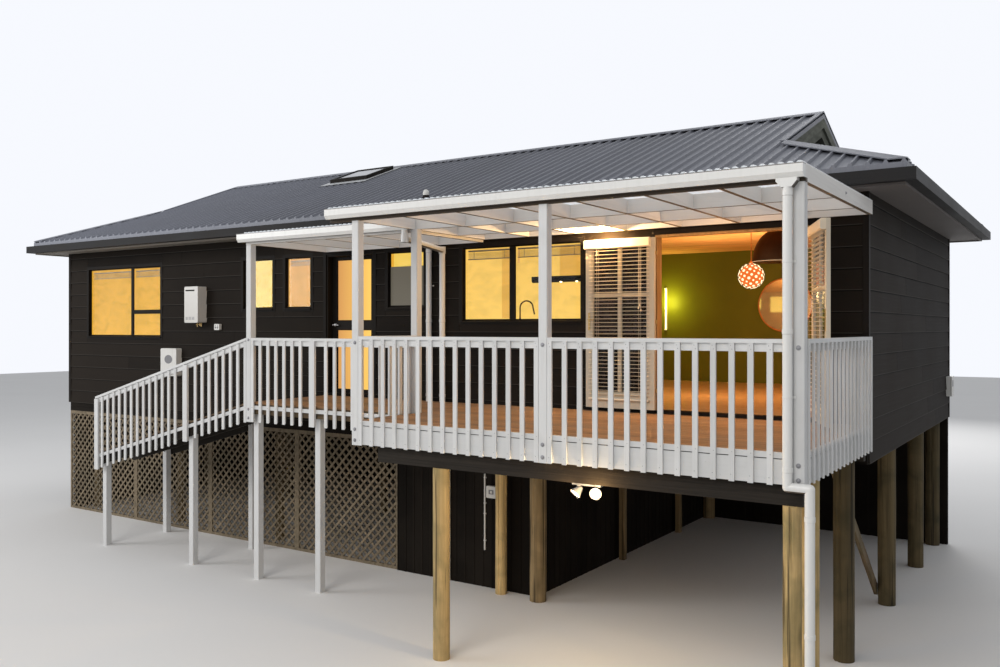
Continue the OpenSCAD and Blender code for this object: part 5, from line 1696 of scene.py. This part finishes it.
# %% Outdoor lamps
SPOTS = ((Vector((-2.106, -2.440, 1.930)), Vector((-0.41, -0.61, -0.68)).normalized()),
         (Vector((-1.915, -2.440, 1.928)), Vector((0.34, -0.93, -0.12)).normalized()))
SPOT_PLATE_Y = (-2.459, -2.399)
porch_box, spot_box = solids("outdoor_lights")
PORCH = centre_of(porch_box)
PORCH.y = porch_box[1].y


def porch_lamp(shape, place):
    """A round bulkhead on the wall: body, glass and the ring between them."""
    body = [(0.062, 0.0), (0.064, 0.004), (0.064, 0.020), (0.058, 0.026), (0.052, 0.026)]
    dome = [(0.052, 0.022), (0.051, 0.042), (0.043, 0.058), (0.024, 0.067), (0.0, 0.069)]
    bezel = [(0.051, 0.038), (0.055, 0.040), (0.055, 0.044), (0.050, 0.046)]
    for profile, finish in ((body, 0), (dome, 1), (bezel, 0)):
        shape.turned(profile, place, FRONT, 32, finish)


def spot_lamp(shape, place, way):
    """A spot: its foot under the plate, a bent stem, the cup and the glass."""
    foot = [(0.020, 0.0), (0.020, 0.008), (0.012, 0.012)]
    shape.turned(foot, place + Vector((0, 0.011, 0.053)), (0, 0, -1), 16, finish=2)
    stem = [place + Vector((0, 0.011, 0.052)), place + Vector((0, 0.011, 0.012)), place]
    shape.tube(stem, 0.011, 12, finish=2)
    cup = [(0.0, -0.046), (0.020, -0.044), (0.030, -0.030), (0.040, 0.006), (0.052, 0.030),
           (0.055, 0.044), (0.050, 0.044), (0.047, 0.036)]
    shape.turned(cup, place, way, 32, finish=2)
    shape.turned([(0.047, 0.034), (0.030, 0.041), (0.0, 0.044)], place, way, 32, finish=1)


outdoor = Shape()
porch_lamp(outdoor, PORCH)
spot_plate = (spot_box[1].z - 0.020, spot_box[1].z)
outdoor.block((spot_box[0].x, spot_box[1].x), SPOT_PLATE_Y, spot_plate, 2)
for place, way in SPOTS:
    spot_lamp(outdoor, place, way)
outdoor.piece("outdoor_lamp_bodies", [plastic_white, lamp_glass, plastic_grey], slot="white_plastic",
              hides=["outdoor_lights"], smooth=True)

# %% [markdown]
# A water heater and several service boxes hang on the walls. A moulded case has round corners and a
# seam where its cover lifts off, so one function draws the round outline and another the case. The
# heater adds a slot above, rows of grooves below, and three valves under it.

# %% Cases and heater
SEAM = 0.003
VALVE_Y = -0.090


def rounded(x, z, radius, steps=5):
    """Outline of a rectangle with round corners."""
    outline = []
    for u, v, start in ((x[1], z[0], 270), (x[1], z[1], 0), (x[0], z[1], 90), (x[0], z[0], 180)):
        cu = u - radius if u == x[1] else u + radius
        cv = v - radius if v == z[1] else v + radius
        for k in range(steps + 1):
            turn = math.radians(start + 90 * k / steps)
            outline.append((cu + radius * math.cos(turn), cv + radius * math.sin(turn)))
    return outline


def panel(shape, x, z, radius, deep, finish=0, axis="y"):
    """A plate with round corners, drawn out along an axis."""
    shape.prism(rounded(x, z, radius), deep, axis, finish)


def case(shape, low, high, radius, lid, finish=0):
    """A box on the front wall with round corners, and a seam round its cover."""
    x, z = (low.x, high.x), (low.z, high.z)
    panel(shape, x, z, radius, (low.y + lid + 0.002, high.y), finish)
    panel(shape, inset(x, SEAM), inset(z, SEAM), radius - SEAM,
          (low.y + lid - 0.001, low.y + lid + 0.003), 1)
    panel(shape, x, z, radius, (low.y, low.y + lid), finish)


heater = Shape()
low, high = house_box("water_heater")
wide, tall = high.x - low.x, high.z - low.z
case(heater, low, high, 0.024, 0.026)
slot_x = (low.x + 0.09 * wide, low.x + 0.76 * wide)
slot_z = (low.z + 0.872 * tall, low.z + 0.912 * tall)
panel(heater, slot_x, slot_z, 0.004, (low.y - 0.0006, low.y + 0.004), 1)
for k in range(3):
    start = low.x + (0.09 + 0.235 * k) * wide
    for row in range(4):
        foot = low.z + (0.085 + 0.021 * row) * tall
        groove = rounded((start, start + 0.19 * wide), (foot, foot + 0.007), 0.003, 3)
        heater.prism(groove, (low.y - 0.0006, low.y + 0.003), "y", 2)
for share, valve_tall in ((0.62, 0.070), (0.80, 0.055), (0.90, 0.065)):
    x = low.x + share * wide
    valve = [(0.008, 0.0), (0.008, 0.016), (0.014, 0.018), (0.014, 0.034), (0.009, 0.036),
             (0.009, valve_tall)]
    heater.turned(valve, (x, VALVE_Y, low.z + 0.001), (0, 0, -1), 12, finish=3)
    heater.tube([(x, VALVE_Y, low.z - 0.026), (x, VALVE_Y - 0.028, low.z - 0.026)], 0.006, 10,
                finish=3)
heater.piece("heater_case", [enamel, lining_black, plastic_grey, brass], slot="heater_steel",
             hides=["water_heater"], bevel=0.0012)

# %% [markdown]
# The small fittings at the entry differ too much for one recipe. Each has a short function of its
# own, and they are called in the order in which the structure's solids stand, from left to right.

# %% Service boxes
SWITCH_Z = (1.212, 1.370)
CONDUIT_Y = -0.020


def pump_box(shape, low, high):
    """A case with an oval plate on its cover."""
    case(shape, low, high, 0.030, 0.030)
    middle = centre_of((low, high))
    oval = [(middle.x + 0.105 * u, middle.z + 0.050 + 0.075 * v) for u, v in circle(1.0, 40)]
    shape.prism(oval, (low.y - 0.0015, low.y + 0.004), "y", 2)


def socket_box(shape, low, high):
    """A case with two round outlets, and a small switch over each."""
    case(shape, low, high, 0.012, 0.014)
    level = centre_of((low, high)).z - 0.008
    outlet = [(0.018, 0.0), (0.018, 0.003), (0.014, 0.004), (0.0, 0.0042)]
    for share in (0.30, 0.70):
        x = low.x + share * (high.x - low.x)
        shape.turned(outlet, (x, low.y + 0.001, level), FRONT, 20, 2)
        shape.block((x - 0.007, x + 0.007), (low.y - 0.002, low.y), (high.z - 0.026, high.z - 0.014),
                    1)


def waste_pipe(shape, low, high):
    """An upright pipe with three collars."""
    x, y, _ = centre_of((low, high))
    shape.tube([(x, y, low.z), (x, y, high.z)], 0.0385, 28)
    for z in (0.25, 1.30, 2.30):
        shape.turned([(0.038, 0.0), (0.0400, 0.002), (0.0400, 0.046), (0.038, 0.048)], (x, y, z),
                     UP, 28)


def conduit_run(shape, low, high):
    """A thin pipe with saddles, and a switch box at its right with a rocker."""
    run = low.x + 0.0125
    shape.tube([(run, CONDUIT_Y, low.z), (run, CONDUIT_Y, high.z)], 0.0122, 16)
    for z in (0.62, 0.98, 1.12, 1.46):
        shape.block((run - 0.012, run + 0.022), (-0.034, 0.0), (z, z + 0.016))
    x, y = (high.x - 0.160, high.x), low.y
    case(shape, Vector((x[0], y, SWITCH_Z[0])), Vector((x[1], 0.0, SWITCH_Z[1])), 0.014, 0.016)
    panel(shape, inset(x, 0.040), (1.262, 1.322), 0.006, (y - 0.001, y + 0.003), 2)
    panel(shape, inset(x, 0.066), (1.276, 1.308), 0.004, (y - 0.005, y))


def meter_box(shape, low, high):
    """A box on the carport's side with a cover, its seam and a small window."""
    y, z, x = (low.y, high.y), (low.z, high.z), high.x
    panel(shape, y, z, 0.014, (low.x, x - 0.020), 0, "x")
    panel(shape, inset(y, 0.004), inset(z, 0.004), 0.010, (x - 0.021, x - 0.017), 1, "x")
    panel(shape, y, z, 0.014, (x - 0.018, x - 0.001), 0, "x")
    panel(shape, inset(y, 0.060), (z[0] + 0.150, z[1] - 0.060), 0.010, (x - 0.003, x), 2, "x")


boxes = Shape()
makers = (pump_box, socket_box, waste_pipe, conduit_run, meter_box)
for make, box in zip(makers, solids("service_boxes")):
    make(boxes, *box)
boxes.piece("service_box_cases", [plastic_white, lining_black, plastic_grey], slot="white_plastic",
            hides=["service_boxes"], bevel=0.001)

# %% [markdown]
# The round pipes are joined by collars and held by clips. Both are short turned rings, so one
# function and a list of places make them all. One bolt shows on the end of the canopy's frame.

# %% Collars and clips
PIPE_R = 0.040
WALL_FACE = -0.001
POST_FACE = -2.584
upper_pipe, lower_pipe = (-0.085, -2.622), (0.092, -2.622)
entry_pipe, branch_pipe = (-5.768, -0.047), (-5.534, -0.047)
rings = Shape()


def sleeve(place, z, out, ease, tall):
    """A ring that stands a little out from a pipe."""
    profile = [(PIPE_R - 0.001, 0.0), (PIPE_R + out, ease), (PIPE_R + out, tall - ease),
               (PIPE_R - 0.001, tall)]
    rings.turned(profile, (*place, z), UP, 28)


for place, levels in ((upper_pipe, (2.30, 3.42, 4.54)), (lower_pipe, (0.05, 0.98, 1.92)),
                      (entry_pipe, (2.52, 3.55, 4.52)), (branch_pipe, (2.52, 3.55))):
    for z in levels:
        sleeve(place, z, 0.0035, 0.002, 0.042)
for place, levels, back in ((upper_pipe, (2.90, 4.00), POST_FACE),
                            (entry_pipe, (3.05, 4.05), WALL_FACE),
                            (branch_pipe, (3.05,), WALL_FACE)):
    for z in levels:
        sleeve(place, z, 0.002, 0.001, 0.020)
        rings.block((place[0] + 0.030, place[0] + 0.058), (back - 0.006, back), (z, z + 0.020))
frame_low, frame_high = house_box("canopy_frame")
bolt(rings, (frame_high.x, -1.20, frame_low.z + 0.075), (1, 0, 0), 0.009)
rings.piece("pipe_collars_and_bolts", [gutter_white, zinc], slot="white_plastic", smooth=True)

# %% [markdown]
# On the roof stand a skylight and a small vent. The skylight follows the slope: a dark kerb, a pane,
# and pale flashing that lies on the ribs. A table gives each plate by its two spans, its height over
# the sheet and its finish.

# %% Skylight and vent
RISE = 0.389
KERB = 0.055
KERB_UP = (0.0, 0.100)
PANE_UP = (0.082, 0.088)
FLASH = 0.10
FLASH_UP = (0.033, 0.036)
sky_box, vent_box = solids("roof_fittings")
fittings = Shape()


def on_slope(y, up):
    """A point of the front slope's section, raised straight up from the sheet's pans."""
    return (y, sky_box[0].z + (y - sky_box[0].y) * RISE + up)


def slope_plate(shape, x, y, up, finish=0):
    """A plate parallel to the front slope."""
    outline = [on_slope(y[0], up[0]), on_slope(y[1], up[0]), on_slope(y[1], up[1]),
               on_slope(y[0], up[1])]
    shape.prism(outline, x, "x", finish)


x, y = (sky_box[0].x, sky_box[1].x), (sky_box[0].y, sky_box[1].y)
inner_x, inner_y, wide = inset(x, KERB), inset(y, KERB), inset(x, -FLASH)
for across, along, up, finish in ((x, (y[0], inner_y[0]), KERB_UP, 0),
                                  (x, (inner_y[1], y[1]), KERB_UP, 0),
                                  ((x[0], inner_x[0]), inner_y, KERB_UP, 0),
                                  ((inner_x[1], x[1]), inner_y, KERB_UP, 0),
                                  (inner_x, inner_y, PANE_UP, 1),
                                  (wide, (y[0] - 0.16, y[0]), FLASH_UP, 2),
                                  (wide, (y[1], y[1] + 0.12), FLASH_UP, 2),
                                  ((wide[0], x[0]), y, FLASH_UP, 2),
                                  ((x[1], wide[1]), y, FLASH_UP, 2)):
    slope_plate(fittings, across, along, up, finish)
cap = centre_of(vent_box)
collar = [(0.0475, 0.0), (0.0475, 0.060), (0.030, 0.066)]
fittings.turned(collar, (cap.x, cap.y, vent_box[0].z), UP, 28)
dome = [(0.034, 0.056), (0.045, 0.060), (0.046, 0.086), (0.043, 0.106), (0.033, 0.126),
        (0.018, 0.140), (0.0, 0.144)]
fittings.turned(dome, (cap.x, cap.y, vent_box[1].z - dome[-1][1]), UP, 28, finish=3)
fittings.piece("skylight_and_vent", [frames_black, pane_dark, flashing, plastic_white],
               slot="roof_fitting", hides=["roof_fittings"], bevel=0.001)

# %% [markdown]
# Screws hold the ribs of both slopes, in rows up the slope. A row stops short of the hip, where the
# sheets are cut, and a low washer head is enough at this size.

# %% Roof screws
RIB_PITCH = 0.168
RIB_FOOT = 0.058
RIB_UP = 0.028
SCREW_ROWS = (0.08, 0.62, 1.16, 1.70, 2.24, 2.78, 3.28)
HIP_CLEAR = 0.15
HALF_SPAN = 1.72
eave_low, eave_high = house_box("roof_front")
span = eave_high.x - eave_low.x
ribs = math.floor((span - RIB_FOOT) / RIB_PITCH)
edge = (span - ribs * RIB_PITCH) / 2
heads = Shape()
lean = math.atan(RISE)
for i in range(ribs + 1):
    x = eave_low.x + edge + i * RIB_PITCH
    from_end = min(x - eave_low.x, eave_high.x - x)
    for up in SCREW_ROWS:
        if up < from_end - HIP_CLEAR or (from_end > HALF_SPAN and up > 0.1):
            y, z = on_slope(eave_low.y + up, 0.0)
            y -= RIB_UP * math.sin(lean)
            z += RIB_UP * math.cos(lean)
            for side, place in ((1, (x, y, z)), (-1, (x, DEPTH - y, z))):
                way = (0, -side * math.sin(lean), math.cos(lean))
                heads.turned([(0.0085, -0.001), (0.0085, 0.003), (0.0, 0.005)], place, way, 6)
heads.piece("roof_screws", zinc, slot="roof_steel")

# %% [markdown]
# The small gables at both ends are closed by dark boards, behind two layers of barge boards. Each
# board is cut to the slope, which rises to the ridge from both sides.

# %% Gable boards
GABLE_BOARDS = 18
GABLE_BACK = (0.031, 0.040)
BARGE_DROP = 0.26
backs = Shape()
for low, high in solids("gablets"):
    back = (low.x + GABLE_BACK[0], low.x + GABLE_BACK[1])
    if low.x < -5.0:
        back = (high.x - GABLE_BACK[1], high.x - GABLE_BACK[0])
    pitch = (high.y - low.y) / GABLE_BOARDS
    for i in range(GABLE_BOARDS):
        y = (low.y + i * pitch, low.y + (i + 1) * pitch - 0.004)
        tall = [min(side - low.y, high.y - side) * RISE for side in y]
        if min(tall) - BARGE_DROP > 0.02:
            backs.prism([(y[0], low.z), (y[1], low.z), (y[1], low.z + tall[1] - BARGE_DROP),
                         (y[0], low.z + tall[0] - BARGE_DROP)], back, "x")
backs.piece("gable_boards", lining_black, slot="black_lining", bevel=0.001)

# %% [markdown]
# The studio is a pale floor that ends far away, under a white sky. The sky is white only where the
# camera, a mirror or a pane looks at it. The light that it sheds on the house is softer.

# %% Floor and sky
SKY = 0.50
floor_mesh = bpy.data.meshes.new("studio_floor")
REACH = 60.0
floor_mesh.from_pydata([(-REACH, -REACH, 0), (REACH, -REACH, 0), (REACH, REACH, 0),
                        (-REACH, REACH, 0)], [], [(0, 1, 2, 3)])
studio_floor = bpy.data.objects.new("studio_floor", floor_mesh)
bpy.context.scene.collection.objects.link(studio_floor)
floor_paint = Finish("studio_floor", roughness=0.9)
cloud = floor_paint.noise(0.3, detail=2.0)
floor_paint.show(base_color=floor_paint.mix((0.74, 0.73, 0.72), (0.78, 0.77, 0.76), cloud))
floor_mesh.materials.append(floor_paint.material)

world = bpy.data.worlds.new("studio")
bpy.context.scene.world = world
world.use_nodes = True
tree = world.node_tree
tree.nodes.clear()


def either(first, second):
    """1 where one of two values is 1."""
    made = tree.nodes.new("ShaderNodeMath")
    made.operation = "MAXIMUM"
    tree.links.new(first, made.inputs[0])
    tree.links.new(second, made.inputs[1])
    return made.outputs[0]


def background(colour, strength):
    """A sky of one colour."""
    made = tree.nodes.new("ShaderNodeBackground")
    made.inputs["Color"].default_value = (*colour, 1.0)
    made.inputs["Strength"].default_value = strength
    return made.outputs[0]


path = tree.nodes.new("ShaderNodeLightPath").outputs
seen = either(path["Is Camera Ray"], either(path["Is Glossy Ray"], path["Is Transmission Ray"]))
blend = tree.nodes.new("ShaderNodeMixShader")
out = tree.nodes.new("ShaderNodeOutputWorld")
tree.links.new(seen, blend.inputs[0])
tree.links.new(background((0.93, 0.96, 1.0), SKY), blend.inputs[1])
tree.links.new(background((0.93, 0.95, 1.0), 1.0), blend.inputs[2])
tree.links.new(blend.outputs[0], out.inputs["Surface"])
print("floor laid, sky at", SKY)

# %% [markdown]
# Large lamps give the daylight its direction. Small warm lamps in the rooms, on the porch and under
# the deck make the glow that the windows promise.

# %% Lamps of the studio


def lamp(name, kind, place, power, colour=(1, 1, 1), size=1.0, towards=None):
    """A lamp in house measure, an area lamp when it has somewhere to face."""
    light = bpy.data.lights.new(name, kind)
    light.energy = power
    light.color = colour
    if kind == "AREA":
        light.shape = "DISK"
        light.size = size
    else:
        light.shadow_soft_size = size
    thing = bpy.data.objects.new(name, light)
    thing.location = ORIGIN + Vector(place)
    thing.visible_camera = False
    thing.visible_glossy = kind == "AREA"
    if towards is not None:
        way = Vector(towards) - Vector(place)
        thing.rotation_euler = way.to_track_quat("-Z", "Y").to_euler()
    bpy.context.scene.collection.objects.link(thing)
    return thing


WARM = (1.0, 0.66, 0.32)
middle = (-LENGTH / 2, 2.0, 2.5)
lamp("key", "AREA", (-3.0, -19.0, 14.0), 1700.0, (1.0, 0.97, 0.93), size=12.0, towards=middle)
lamp("fill", "AREA", (-24.0, -14.0, 9.0), 1560.0, size=10.0, towards=middle)
lamp("back", "AREA", (-6.0, 24.0, 12.0), 1700.0, size=12.0, towards=middle)
lamp("living_room", "POINT", (-1.9, 2.6, 4.2), 110.0, WARM, size=0.4)
lamp("dining_end", "POINT", (-3.0, 3.4, 4.2), 40.0, WARM, size=0.4)
lamp("uplight", "POINT", (-2.7, 2.4, 3.3), 45.0, (1.0, 0.58, 0.26), size=0.3)
lamp("strip", "POINT", (-4.70, 5.70, 3.95), 26.0, (1.0, 0.88, 0.22), size=0.06)
lamp("porch", "POINT", PORCH + Vector((0, -0.17, -0.14)), 95.0, (1.0, 0.62, 0.27), size=0.05)
lamp("porch_close", "POINT", PORCH + Vector((0, -0.10, 0.0)), 30.0, (1.0, 0.70, 0.36), size=0.04)
for place, way in SPOTS:
    lamp("spot", "POINT", place + 0.16 * way, 24.0, (1.0, 0.72, 0.38), size=0.04)
lamp("under_deck", "POINT", (-2.2, -2.0, 1.3), 12.0, (1.0, 0.74, 0.42), size=0.25)
lamp("doorway", "POINT", (-1.55, -0.42, 4.1), 18.0, (1.0, 0.54, 0.20), size=0.15)

scene = bpy.context.scene
scene.view_settings.view_transform = "Standard"
